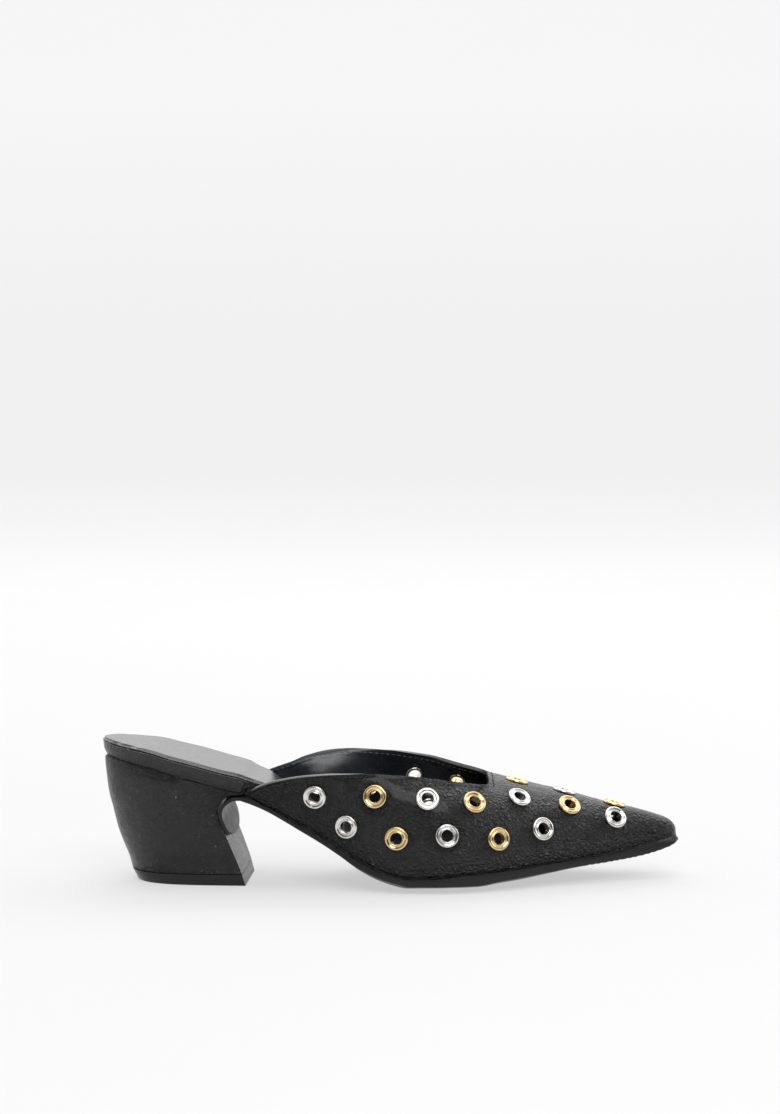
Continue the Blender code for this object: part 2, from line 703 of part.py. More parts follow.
def sock_mesh():
    """Padded lining on the footbed, set in from its rim."""
    along = column(SOLE, SOLE_COLUMNS, "along")
    drop = column(SOLE, SOLE_COLUMNS, "drop") * HEEL_HEIGHT
    rows = []
    for (low, top, thick, share, tuck) in footbed_rows()[2:-1]:
        middle = (top[0] + top[1]) / 2
        width = np.linalg.norm(top[1] - top[0])
        inset = SOCK_INSET * (1 - 0.7 * tuck)
        keep = 1 - 2 * inset / width
        fall = float(steady(along, drop, max(share, along[0]))) * 0.25 * tuck
        rise = FOOTBED_PLAY * tuck
        slope = math.hypot(1.0, 0.55 * tuck if share < 0.48 else 0.0)
        pair = []
        for p in top:
            q = middle + (p - middle) * keep
            q[2] = low[0][2] + rise + thick * slope + GAP
            pair.append(q)
        over = [p + np.array((0, 0, SOCK_WALL)) for p in pair]
        block = np.array((across(pair[0], pair[1], 7, fall), across(over[0], over[1], 7, fall)))
        rows.append(np.transpose(block, (1, 0, 2)))
    return lattice("sock", rows)


def hole_mesh(frames):
    """All the eyelet holes as one set of short round bars."""
    bm = bmesh.new()
    for here, normal, ahead in frames:
        z = Vector(normal)
        x = (Vector(ahead) - z * Vector(ahead).dot(z)).normalized()
        turn = Matrix((x, z.cross(x), z)).transposed().to_4x4()
        centre = Matrix.Translation(Vector(here) + Vector((0, 0, GAP)) - z * UPPER_WALL / 2)
        bmesh.ops.create_cone(bm, cap_ends=True, segments=12, radius1=EYELET_HOLE, radius2=EYELET_HOLE,
                              depth=UPPER_WALL * 3.4, matrix=centre @ turn)
    mesh = bpy.data.meshes.new("eyelet_holes")
    bm.to_mesh(mesh)
    bm.free()
    return mesh


def main():
    for obj in list(bpy.data.objects):
        bpy.data.objects.remove(obj, do_unlink=True)
    shoe = bpy.data.collections.new("block_heel_mule")
    cutters = bpy.data.collections.new("cutters")
    bpy.context.scene.collection.children.link(shoe)
    bpy.context.scene.collection.children.link(cutters)

    add("outsole", outsole_mesh(), shoe, material("outsole_rubber", (0.03, 0.03, 0.032), 0.55))
    add("heel_block", heel_mesh(), shoe, material("heel_leather", (0.02, 0.021, 0.024), 0.42))
    add("top_lift", lift_mesh(), shoe, material("top_lift_rubber", (0.025, 0.025, 0.027), 0.5))
    add("footbed", footbed_mesh(), shoe, material("footbed_leather", (0.022, 0.023, 0.026), 0.42))
    add("sock", sock_mesh(), shoe, material("sock_leather", (0.03, 0.031, 0.036), 0.36))

    upper = add("upper", upper_mesh(), shoe, material("upper_leather", (0.018, 0.019, 0.022), 0.38))
    shell = upper.modifiers.new("wall", "SOLIDIFY")
    shell.thickness = UPPER_WALL
    shell.offset = -1.0
    shell.use_even_offset = True

    metals = {"silver": (0.72, 0.70, 0.68), "gold": (0.80, 0.66, 0.44)}
    eyelets = []
    for side, side_name in ((0, "lateral"), (1, "medial")):
        for name, *places, metal in SIDE_EYELETS:
            along, up = places[2 * side:2 * side + 2]
            eyelets.append((f"eyelet_{side_name}_{name}", upper_frame(run_at(along), side, up), metal))
    for name, along, metal in MIDDLE_EYELETS:
        eyelets.append((f"eyelet_{name}", upper_frame(run_at(along), 0, 2.0), metal))

    holes = bpy.data.objects.new("eyelet_holes", hole_mesh([frame for _, frame, _ in eyelets]))
    cutters.objects.link(holes)
    holes.hide_render = True
    holes.display_type = "WIRE"
    cut = upper.modifiers.new("eyelet_holes", "BOOLEAN")
    cut.operation = "DIFFERENCE"
    cut.solver = "EXACT"
    cut.object = holes

    for name, frame, metal in eyelets:
        obj = add(name, ring_mesh(name, eyelet_profile()), shoe, material(f"{name}_metal", metals[metal], 0.22, 1.0))
        place(obj, frame)
        turned = obj.modifiers.new("turned", "SCREW")
        turned.angle = math.tau
        turned.steps = 12
        turned.render_steps = 12
        turned.use_merge_vertices = True
        turned.merge_threshold = 0.00005

    reach = np.array([v.co for name in ("outsole", "footbed") for v in bpy.data.objects[name].data.vertices])
    middle = (reach.min(axis=0) + reach.max(axis=0)) / 2
    to_middle = Matrix.Translation((-middle[0], -middle[1], 0.0))
    for obj in [*shoe.objects, *cutters.objects]:
        obj.matrix_world = to_middle @ obj.matrix_world


main()
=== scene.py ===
"""Looks of the block heel mule: leather, lining, stitching, metal rings, sole, room, light and camera.

The shoe's own sections are set out here again at a fine pitch, and TO_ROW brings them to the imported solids.
"""
import math

import bmesh
import bpy
import numpy as np
from mathutils import Matrix, Vector, noise


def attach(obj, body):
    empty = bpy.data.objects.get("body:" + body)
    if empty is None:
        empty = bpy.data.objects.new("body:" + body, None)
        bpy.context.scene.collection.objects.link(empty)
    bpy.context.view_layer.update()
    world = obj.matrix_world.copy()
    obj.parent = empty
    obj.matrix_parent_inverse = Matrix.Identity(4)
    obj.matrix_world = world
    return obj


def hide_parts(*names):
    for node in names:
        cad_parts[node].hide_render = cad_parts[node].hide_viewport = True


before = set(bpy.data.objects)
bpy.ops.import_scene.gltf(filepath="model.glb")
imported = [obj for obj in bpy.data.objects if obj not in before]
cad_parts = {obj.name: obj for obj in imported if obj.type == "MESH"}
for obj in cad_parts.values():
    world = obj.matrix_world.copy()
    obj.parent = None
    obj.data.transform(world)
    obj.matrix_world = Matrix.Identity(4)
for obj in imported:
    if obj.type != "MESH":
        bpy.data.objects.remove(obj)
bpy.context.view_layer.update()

LENGTH = 0.258
BALL_WIDTH = 0.079
HEEL_HEIGHT = 0.056
UPPER_WALL = 0.0018
SOLE_WALL_WAIST = 0.0015
SOLE_WALL_BALL = 0.0038
SOLE_LIP = 0.0010
GAP = 0.0003
FOOTBED_SEAT = 0.0062
FOOTBED_BALL = 0.0026
FOOTBED_LEAN = 0.0018
FOOTBED_PLAY = 0.0012
SOCK_WALL = 0.0010
SOCK_INSET = 0.0025
LIFT_HEIGHT = 0.0053
EYELET_HOLE = 0.0033
HEEL_SLANT = 0.065  # how far a line across the heel leans along the shoe, as a share of its width
BREAST = 0.2581  # share of the length where the sole turns down the heel breast
TOE_ROUND = 0.965  # share of the length where the toe's rounding starts
STITCH_IN = 0.0023  # from the wing's edge to its stitches
THROAT_IN = 0.0024  # from the throat's edge to its stitches
TREAD_START = 0.84  # share of the length where the fine tread under the toe starts
TREAD_DEPTH = 0.00018
TREAD_PITCH = 0.0031
FLAP_ROW = 6  # row of the arch's table where the rounded flap starts
VAMP_FRONT = 0.9651  # share of the length where the vamp's front rounds off
SEAT_END = 0.24  # share of the length where the heel seat ends
WINGS_FULL = 0.28  # share of the length from which the wings hold the footbed
PRESSED_IN = 0.0019  # from the sock's edge to its pressed line
SOCK_ROLL = 0.0004  # width of the sock's rounded edge
RING_SINK = -0.00018  # how far a ring is pressed into the leather
SMOOTH_REACH = 0.007  # how far from the throat the wall's rows are smoothed
SMOOTH_PASSES = 60

# The last: place along it and how far a section slants are shares of the length and of the section's own
# width, the two edges are shares of the ball width and the feather height is a share of the heel height.
LAST = (
    ("along", "lateral", "medial", "feather", "slant"),
    (0.0000, 0.015, 0.015, 1.011, 0.065),
    (0.0039, -0.082, 0.108, 1.009, 0.065),
    (0.0155, -0.162, 0.177, 1.004, 0.065),
    (0.0349, -0.228, 0.235, 0.989, 0.065),
    (0.0581, -0.278, 0.278, 0.973, 0.065),
    (0.0853, -0.319, 0.311, 0.952, 0.065),
    (0.1240, -0.352, 0.337, 0.904, 0.065),
    (0.1589, -0.361, 0.342, 0.864, 0.065),
    (0.2054, -0.354, 0.342, 0.802, 0.065),
    (0.2481, -0.335, 0.323, 0.750, 0.060),
    (0.2791, -0.329, 0.297, 0.677, 0.050),
    (0.3178, -0.335, 0.272, 0.582, 0.030),
    (0.3798, -0.361, 0.253, 0.420, 0.000),
    (0.4457, -0.430, 0.304, 0.250, -0.040),
    (0.5000, -0.481, 0.380, 0.146, -0.065),
    (0.5426, -0.500, 0.437, 0.123, -0.074),
    (0.5775, -0.500, 0.475, 0.127, -0.070),
    (0.6202, -0.481, 0.497, 0.146, -0.050),
    (0.6698, -0.430, 0.494, 0.157, -0.010),
    (0.7209, -0.354, 0.449, 0.171, -0.030),
    (0.7713, -0.272, 0.386, 0.188, -0.050),
    (0.8256, -0.196, 0.323, 0.209, -0.060),
    (0.8721, -0.133, 0.278, 0.229, -0.060),
    (0.9070, -0.082, 0.247, 0.248, -0.060),
    (0.9380, -0.038, 0.222, 0.268, -0.060),
    (0.9651, -0.013, 0.196, 0.296, -0.060),
    (0.9845, 0.004, 0.177, 0.316, -0.060),
    (0.9938, 0.023, 0.156, 0.325, -0.060),
    (0.9973, 0.051, 0.129, 0.329, -0.060),
    (0.9984, 0.071, 0.109, 0.330, -0.060),
)

# The wings' top edge on each side: reach is a share of the ball width, height a share of the heel height.
TOPLINE = (
    ("along", "lateral", "lateral_height", "medial", "medial_height"),
    (0.2496, -0.333, 0.756, 0.319, 0.756),
    (0.2597, -0.334, 0.771, 0.315, 0.772),
    (0.2733, -0.338, 0.799, 0.306, 0.797),
    (0.2868, -0.343, 0.823, 0.296, 0.822),
    (0.3178, -0.354, 0.862, 0.286, 0.865),
    (0.3450, -0.367, 0.885, 0.296, 0.908),
    (0.3798, -0.380, 0.904, 0.319, 0.941),
    (0.4147, -0.392, 0.914, 0.334, 0.957),
    (0.4512, -0.392, 0.919, 0.347, 0.961),
    (0.5167, -0.380, 0.904, 0.357, 0.954),
    (0.5864, -0.335, 0.861, 0.348, 0.914),
    (0.6264, -0.291, 0.826, 0.311, 0.862),
    (0.6512, -0.261, 0.807, 0.286, 0.827),
    (0.6636, -0.235, 0.800, 0.261, 0.812),
)

# The vamp's middle line from the throat to the tip.
CREST = (
    ("along", "height"),
    (0.6698, 0.827),
    (0.7016, 0.791),
    (0.7403, 0.750),
    (0.7946, 0.696),
    (0.8256, 0.659),
    (0.8721, 0.600),
    (0.9070, 0.561),
    (0.9380, 0.527),
    (0.9651, 0.491),
    (0.9845, 0.457),
    (0.9938, 0.421),
    (0.9973, 0.386),
    (0.9984, 0.330),
)

# Underside of the sole: height of its edge and how much lower its middle is, both shares of the heel height.
SOLE = (
    ("along", "edge", "drop"),
    (0.2581, 0.677, 0.005),
    (0.2779, 0.638, 0.007),
    (0.2946, 0.600, 0.009),
    (0.3163, 0.543, 0.012),
    (0.3380, 0.484, 0.016),
    (0.3787, 0.375, 0.023),
    (0.4136, 0.277, 0.032),
    (0.4465, 0.182, 0.043),
    (0.4795, 0.116, 0.054),
    (0.5128, 0.075, 0.064),
    (0.5310, 0.057, 0.057),
    (0.6473, 0.057, 0.057),
    (0.6860, 0.080, 0.061),
    (0.7233, 0.095, 0.057),
    (0.7713, 0.118, 0.046),
    (0.8256, 0.148, 0.036),
    (0.8643, 0.161, 0.029),
    (0.8992, 0.175, 0.023),
    (0.9322, 0.191, 0.018),
    (0.9535, 0.211, 0.014),
    (0.9767, 0.241, 0.011),
    (0.9922, 0.271, 0.009),
    (1.0000, 0.296, 0.007),
)

# The sole's turn round the arch and down the heel breast, as its outer line: place is a share of the length
# and height of the heel height.
ARCH = (
    ("along", "height"),
    (0.2420, 0.697),
    (0.2310, 0.694),
    (0.2205, 0.671),
    (0.2130, 0.631),
    (0.2110, 0.585),
    (0.2130, 0.540),
    (0.2160, 0.507),
    (0.2195, 0.466),
    (0.2225, 0.432),
    (0.2252, 0.402),
    (0.2268, 0.384),
)

# Sections of the heel from the tip up to the seat: its back and its breast, and how far its outline has
# grown from the outline of the top lift to that of the seat.
HEEL = (
    ("back", "back_height", "breast", "breast_height", "growth"),
    (0.0508, 0.095, 0.2442, 0.095, 0.17),
    (0.0460, 0.179, 0.2375, 0.179, 0.26),
    (0.0364, 0.300, 0.2285, 0.280, 0.44),
    (0.0271, 0.429, 0.2195, 0.380, 0.61),
    (0.0178, 0.605, 0.2105, 0.480, 0.78),
    (0.0140, 0.671, 0.2040, 0.545, 0.85),
    (0.0105, 0.763, 0.2020, 0.600, 0.91),
    (0.0078, 0.866, 0.2070, 0.665, 0.96),
    (0.0065, 0.940, 0.2200, 0.720, 0.985),
    (0.0058, 1.0035, 0.2460, 0.745, 1.0),
)

# Outline of the top lift against that of the seat, from the breast to the back.
LIFT = (
    ("along", "lateral", "medial", "seat"),
    (0.2500, -0.252, 0.226, 0.2460),
    (0.2180, -0.246, 0.224, 0.2054),
    (0.1860, -0.238, 0.220, 0.1700),
    (0.1540, -0.226, 0.213, 0.1380),
    (0.1240, -0.207, 0.200, 0.1080),
    (0.0980, -0.172, 0.172, 0.0800),
    (0.0790, -0.126, 0.134, 0.0540),
    (0.0690, -0.082, 0.096, 0.0330),
    (0.0630, -0.036, 0.054, 0.0155),
    (0.0601, 0.000, 0.018, 0.0039),
)

# Eyelets: place along and height up the wall on the lateral side, the same on the medial side, and the metal.
SIDE_EYELETS = (
    ("upper_row_1", 0.3697, 0.51, 0.3697, 0.385, "silver"),
    ("upper_row_2", 0.4731, 0.64, 0.4731, 0.50, "gold"),
    ("upper_row_3", 0.5633, 0.675, 0.5610, 0.65, "silver"),
    ("upper_row_4", 0.6427, 0.69, 0.6310, 0.69, "gold"),
    ("upper_row_5", 0.7224, 0.82, 0.7224, 0.82, "silver"),
    ("upper_row_6", 0.8104, 0.80, 0.8104, 0.80, "gold"),
    ("upper_row_7", 0.8898, 0.66, 0.8898, 0.66, "silver"),
    ("lower_row_1", 0.4240, 0.26, 0.4240, 0.25, "silver"),
    ("lower_row_2", 0.5096, 0.30, 0.5060, 0.27, "gold"),
    ("lower_row_3", 0.5955, 0.35, 0.5860, 0.35, "silver"),
    ("lower_row_4", 0.6832, 0.31, 0.6760, 0.31, "gold"),
    ("lower_row_5", 0.7611, 0.41, 0.7611, 0.41, "silver"),
)
MIDDLE_EYELETS = (
    ("middle_row_1", 0.7231, "gold"),
    ("middle_row_2", 0.8074, "silver"),
    ("middle_row_3", 0.8931, "gold"),
)


def clamp(value, low=0.0, high=1.0):
    return min(max(value, low), high)


def ease(value):
    """Smooth step from 0 to 1."""
    return value * value * (3 - 2 * value)


def cubic(t, step, start, end, slope_start, slope_end):
    """Point on a cubic with given ends and slopes, at a share t of a step."""
    return (
        (2 * t**3 - 3 * t**2 + 1) * start
        + (t**3 - 2 * t**2 + t) * step * slope_start
        + (3 * t**2 - 2 * t**3) * end
        + (t**3 - t**2) * step * slope_end
    )


def slopes_through(points, rise, step):
    """Slope at each point of a smooth curve, from the chords beside it."""
    slope = np.empty_like(points)
    slope[0] = rise[0]
    slope[-1] = rise[-1]
    share = (step[1:] / (step[1:] + step[:-1]))[:, None]
    slope[1:-1] = rise[:-1] * share + rise[1:] * (1 - share)
    return slope


def steady(knots, values, at):
    """Cubic through the rows that doesn't overshoot and keeps level stretches level."""
    k = np.asarray(knots, float)
    v = np.asarray(values, float)
    step = np.diff(k)
    rise = np.diff(v) / step
    slope = np.zeros_like(v)
    slope[0] = rise[0]
    slope[-1] = rise[-1]
    before, after = rise[:-1], rise[1:]
    same = before * after > 0
    w1 = 2 * step[1:] + step[:-1]
    w2 = step[1:] + 2 * step[:-1]
    safe_before = np.where(same, before, 1.0)
    safe_after = np.where(same, after, 1.0)
    slope[1:-1] = np.where(same, (w1 + w2) / (w1 / safe_before + w2 / safe_after), 0.0)
    at = np.clip(at, k[0], k[-1])
    i = np.clip(np.searchsorted(k, at, side="right") - 1, 0, len(k) - 2)
    t = (at - k[i]) / step[i]
    return cubic(t, step[i], v[i], v[i + 1], slope[i], slope[i + 1])


def through(points, at):
    """Smooth curve through a few points, at a share of the way from knot to knot."""
    pts = np.asarray(points, float)
    knots = np.concatenate(([0.0], np.cumsum(np.linalg.norm(np.diff(pts, axis=0), axis=1) + 1e-9)))
    step = np.diff(knots)
    slope = slopes_through(pts, np.diff(pts, axis=0) / step[:, None], step)
    i = min(int(at), len(pts) - 2)
    return cubic(at - i, step[i], pts[i], pts[i + 1], slope[i], slope[i + 1])


def column(table, name):
    """One column of a table whose first row holds the columns' names."""
    return np.array([row[table[0].index(name)] for row in table[1:]], float)


def row_at(table, knots, place):
    """All the columns of a table at one place between its rows."""
    return [float(steady(knots, column(table, name), place)) for name in table[0]]


def distances(*steps):
    """Distance along a line at each of its points, from the differences between them."""
    return np.concatenate(([0.0], np.cumsum(np.hypot(*steps))))


LAST_ALONG = column(LAST, "along")
LAST_X = (LAST_ALONG - 0.5) * LENGTH
LAST_LATERAL = column(LAST, "lateral") * BALL_WIDTH
LAST_MEDIAL = column(LAST, "medial") * BALL_WIDTH
LAST_RUN = distances(np.diff(LAST_X), np.diff(LAST_LATERAL))


def run_at(along):
    """Distance round the lateral edge at a share of the length."""
    return float(np.interp(along, LAST_ALONG, LAST_RUN))


def last_edges(run):
    """The feather points of one section, lateral then medial."""
    x = float(steady(LAST_RUN, LAST_X, run))
    y0 = float(steady(LAST_RUN, LAST_LATERAL, run))
    y1 = float(steady(LAST_RUN, LAST_MEDIAL, run))
    z = float(steady(LAST_RUN, column(LAST, "feather"), run)) * HEEL_HEIGHT
    slant = float(steady(LAST_RUN, column(LAST, "slant"), run))
    return np.array((x, y0, z)), np.array((x + slant * (y1 - y0), y1, z))


def inset_edges(run, inset):
    """The same section with both edges moved into the shoe, square to the outline."""
    step = LENGTH * 0.003
    ends = []
    behind = last_edges(max(run - step, 0.0))
    ahead = last_edges(min(run + step, LAST_RUN[-1]))
    here = last_edges(run)
    for side in (0, 1):
        way = ahead[side][:2] - behind[side][:2]
        way = way / (np.linalg.norm(way) + 1e-12)
        inward = np.array((-way[1], way[0])) if side == 0 else np.array((way[1], -way[0]))
        point = here[side].copy()
        point[:2] += inward * inset
        ends.append(point)
    return ends


THROAT = run_at(column(CREST, "along")[0])
TAIL = run_at(column(TOPLINE, "along")[0])
TIP = LAST_RUN[-1]


def shoulder(run, side):
    """The wall's top edge: the topline behind the throat, the vamp's shoulder ahead of it."""
    low = last_edges(run)
    middle = 0.5 * (low[0] + low[1])
    crest = float(steady(column(CREST, "along"), column(CREST, "height"),
                         (low[0][0] / LENGTH) + 0.5)) * HEEL_HEIGHT
    reach = low[side] - middle
    vamp = middle + reach * 0.45
    vamp[2] = low[side][2] + 0.96 * (crest - low[side][2])
    top = middle.copy()
    top[2] = crest
    if run >= THROAT:
        return vamp, top
    name = ("lateral", "medial")[side]
    at_throat = shoulder(THROAT, side)[0]
    knots = np.append([run_at(a) for a in column(TOPLINE, "along")], THROAT)
    y = np.append(column(TOPLINE, name) * BALL_WIDTH, at_throat[1])
    z = np.append(column(TOPLINE, name + "_height") * HEEL_HEIGHT, at_throat[2])
    height = float(steady(knots, z, run))
    slant = (low[1][0] - low[0][0]) / (low[1][1] - low[0][1])
    reach_y = float(steady(knots, y, run))
    point = np.array((low[0][0] + slant * (reach_y - low[0][1]), reach_y, height))
    return point, top


def section(run, side):
    """Points up one side of a section, from the feather to the middle of the vamp."""
    foot = last_edges(run)[side]
    edge, top = shoulder(run, side)
    dy = edge[:2] - foot[:2]
    dz = edge[2] - foot[2]
    low = np.array((*(foot[:2] + dy * 0.08), foot[2] + dz * 0.42))
    high = np.array((*(foot[:2] + dy * 0.42), foot[2] + dz * 0.80))
    beyond = edge + (edge - high) * 1.3
    beyond[:2] += (edge - high)[:2] * 0.8
    blend = clamp((run - THROAT) / (LENGTH * 0.062) + 1.0)
    blend = ease(blend)
    return [foot, low, high, edge, beyond * (1 - blend) + top * blend]


def upper_point(run, side, up):
    """A point on the upper's outside: up is 0 at the feather, 1 at the shoulder and 2 at the middle line."""
    pts = section(run, side)
    if run >= THROAT - 1e-9:
        far = section(run, 1 - side)
        pts = pts + far[3::-1]
    else:
        up = min(up, 1.0)
    at = up * 3.0 if up <= 1.0 else 3.0 + (up - 1.0)
    return through(pts, at)


def upper_frame(run, side, up):
    """Point, outward normal and the direction towards the toe."""
    here = upper_point(run, side, up)
    d = LENGTH * 0.005
    ahead = upper_point(run + d, side, up) - upper_point(run - d, side, up)
    step = 0.02
    climb = upper_point(run, side, up + step) - upper_point(run, side, up - step)
    normal = np.cross(ahead, climb) if side == 0 else np.cross(climb, ahead)
    normal = normal / np.linalg.norm(normal)
    return here, normal, ahead / np.linalg.norm(ahead)


def heel_level(share):
    """Height on the heel: the table's lowest row stands on the top lift and 1 is the full heel height."""
    lowest = column(HEEL, "back_height")[0]
    return LIFT_HEIGHT + (np.asarray(share) - lowest) / (1 - lowest) * (HEEL_HEIGHT - LIFT_HEIGHT)


def grown(low, seat, growth):
    """A measure of the heel's outline, part of the way from the top lift's to the seat's."""
    return low * (1 - growth) + seat * growth


def heel_edges(x, z):
    """Lateral and medial sides of the heel where the arch line passes."""
    growth = float(steady(heel_level(column(HEEL, "breast_height")), column(HEEL, "growth"), z))
    run = run_at(clamp(x / LENGTH + 0.5, 0.0, BREAST))
    top = inset_edges(run, FOOTBED_LEAN * 0.5)
    return [grown(column(LIFT, name)[0] * BALL_WIDTH, top[side][1], growth)
            for side, name in enumerate(("lateral", "medial"))]


def at_knot(distance, knots):
    """Place on a curve through points, counted in points, at a distance along their chords."""
    i = int(np.clip(np.searchsorted(knots, distance, side="right") - 1, 0, len(knots) - 2))
    return i + (distance - knots[i]) / (knots[i + 1] - knots[i])


# From the sections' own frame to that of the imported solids.
TO_ROW = Vector((-0.000504, 0.000119, 0.0))
MM = 0.001

# The camera, read off the photograph: the picture's height and the focal length in pixels, and how far below
# the picture's middle the shoe stands.
PHOTO_PIXELS = 1114
FOCAL_PIXELS = 3333
SHOE_BELOW_PIXELS = 255
SENSOR = 36
CAMERA_AWAY = 1.5
CAMERA_RISE = 9.5
LOOK_AT = (-0.0004, 0.0, 0.0298)

# The backdrop's own glow: the floor at the shoe, the floor at its far end, and the wall.
ROOM_GLOW = (0.53, 0.66, 0.765)
METALS = {"silver": "silver_metal", "gold": "gold_metal"}


# Mesh helpers


def through_many(points, places):
    """Smooth curve through a few points at many places, counted from point to point."""
    pts = np.asarray(points, float)
    step = np.linalg.norm(np.diff(pts, axis=0), axis=1) + 1e-9
    slope = slopes_through(pts, np.diff(pts, axis=0) / step[:, None], step)
    places = np.asarray(places, float)
    i = np.clip(places.astype(int), 0, len(pts) - 2)
    return cubic((places - i)[:, None], step[i][:, None], pts[i], pts[i + 1], slope[i], slope[i + 1])


def add_object(name, data):
    """Object with the data, in the scene."""
    obj = bpy.data.objects.new(name, data)
    bpy.context.scene.collection.objects.link(obj)
    return obj


def new_object(name, verts, faces, place=Matrix.Translation(TO_ROW)):
    """Smooth mesh object with its faces turned out, brought to its place in the row frame."""
    mesh = bpy.data.meshes.new(name)
    mesh.from_pydata([place @ Vector(v) for v in verts], [], faces)
    bm = bmesh.new()
    bm.from_mesh(mesh)
    bmesh.ops.recalc_face_normals(bm, faces=bm.faces)
    bm.to_mesh(mesh)
    bm.free()
    for poly in mesh.polygons:
        poly.use_smooth = True
    return add_object(name, mesh)


def settle(obj, sharp=35.0):
    """Applies the modifiers and marks only the real corners as sharp."""
    graph = bpy.context.evaluated_depsgraph_get()
    made = bpy.data.meshes.new_from_object(obj.evaluated_get(graph), depsgraph=graph)
    obj.modifiers.clear()
    obj.data = made
    for poly in made.polygons:
        poly.use_smooth = True
    made.set_sharp_from_angle(angle=math.radians(sharp))


def modify(obj, kind, **settings):
    modifier = obj.modifiers.new(kind.lower(), kind)
    for key, value in settings.items():
        setattr(modifier, key, value)


def round_edges(obj, width, segments=3, angle=40.0):
    modify(obj, "BEVEL", width=width, segments=segments, limit_method="ANGLE",
           angle_limit=math.radians(angle))


def soften(obj, width, segments=3, angle=40.0):
    """Rounds the real corners of a finished piece."""
    round_edges(obj, width, segments, angle)
    settle(obj)


def block_faces(a, b, c):
    """Faces of the outside of a block of points, and the block's corner numbers."""
    index = np.full((a, b, c), -1)
    order = []

    def corner(i, j, k):
        if index[i, j, k] < 0:
            index[i, j, k] = len(order)
            order.append((i, j, k))
        return int(index[i, j, k])

    def face(*corners):
        faces.append([corner(*key) for key in corners])

    faces = []
    for k in (0, c - 1):
        for i in range(a - 1):
            for j in range(b - 1):
                face((i, j, k), (i + 1, j, k), (i + 1, j + 1, k), (i, j + 1, k))
    for j in (0, b - 1):
        for i in range(a - 1):
            for k in range(c - 1):
                face((i, j, k), (i + 1, j, k), (i + 1, j, k + 1), (i, j, k + 1))
    for i in (0, a - 1):
        for j in range(b - 1):
            for k in range(c - 1):
                face((i, j, k), (i, j + 1, k), (i, j + 1, k + 1), (i, j, k + 1))
    return faces, order


def block(name, points):
    """Closed object round a block of points, indexed by section, by place across and by level."""
    pts = np.asarray(points, float)
    faces, order = block_faces(*pts.shape[:3])
    return new_object(name, [pts[key] for key in order], faces)


def across(start, end, places, bow=0.0):
    """Points from one edge to the other at places from -1 to 1, bowed down in the middle."""
    s = np.asarray(places, float)[:, None]
    line = start * (1 - s) / 2 + end * (1 + s) / 2
    line[:, 2] -= bow * (1 - np.abs(s[:, 0]) ** 2.4)
    return line


def slanted(x, near_y, far_y, height, places):
    """Level line of points across the heel, which leans a little along the shoe."""
    return across(np.array((x, near_y, height)),
                  np.array((x + HEEL_SLANT * (far_y - near_y), far_y, height)), places)


def crowded(count):
    """Places from -1 to 1, closer together at both ends."""
    return np.sin(np.linspace(-1, 1, count) * math.pi / 2)


def upright(rows):
    """Lines of points, one for each level, turned to the order that a block takes."""
    return np.transpose(np.array(rows), (1, 0, 2))


def clumps(point, size, seed=0.0):
    """Soft unevenness of leather, from -1 to 1, with lumps of a given size."""
    p = Vector(point) / size + Vector((seed, seed * 0.7, -seed))
    return noise.noise(p) + 0.5 * noise.noise(p * 2.1)


# Materials


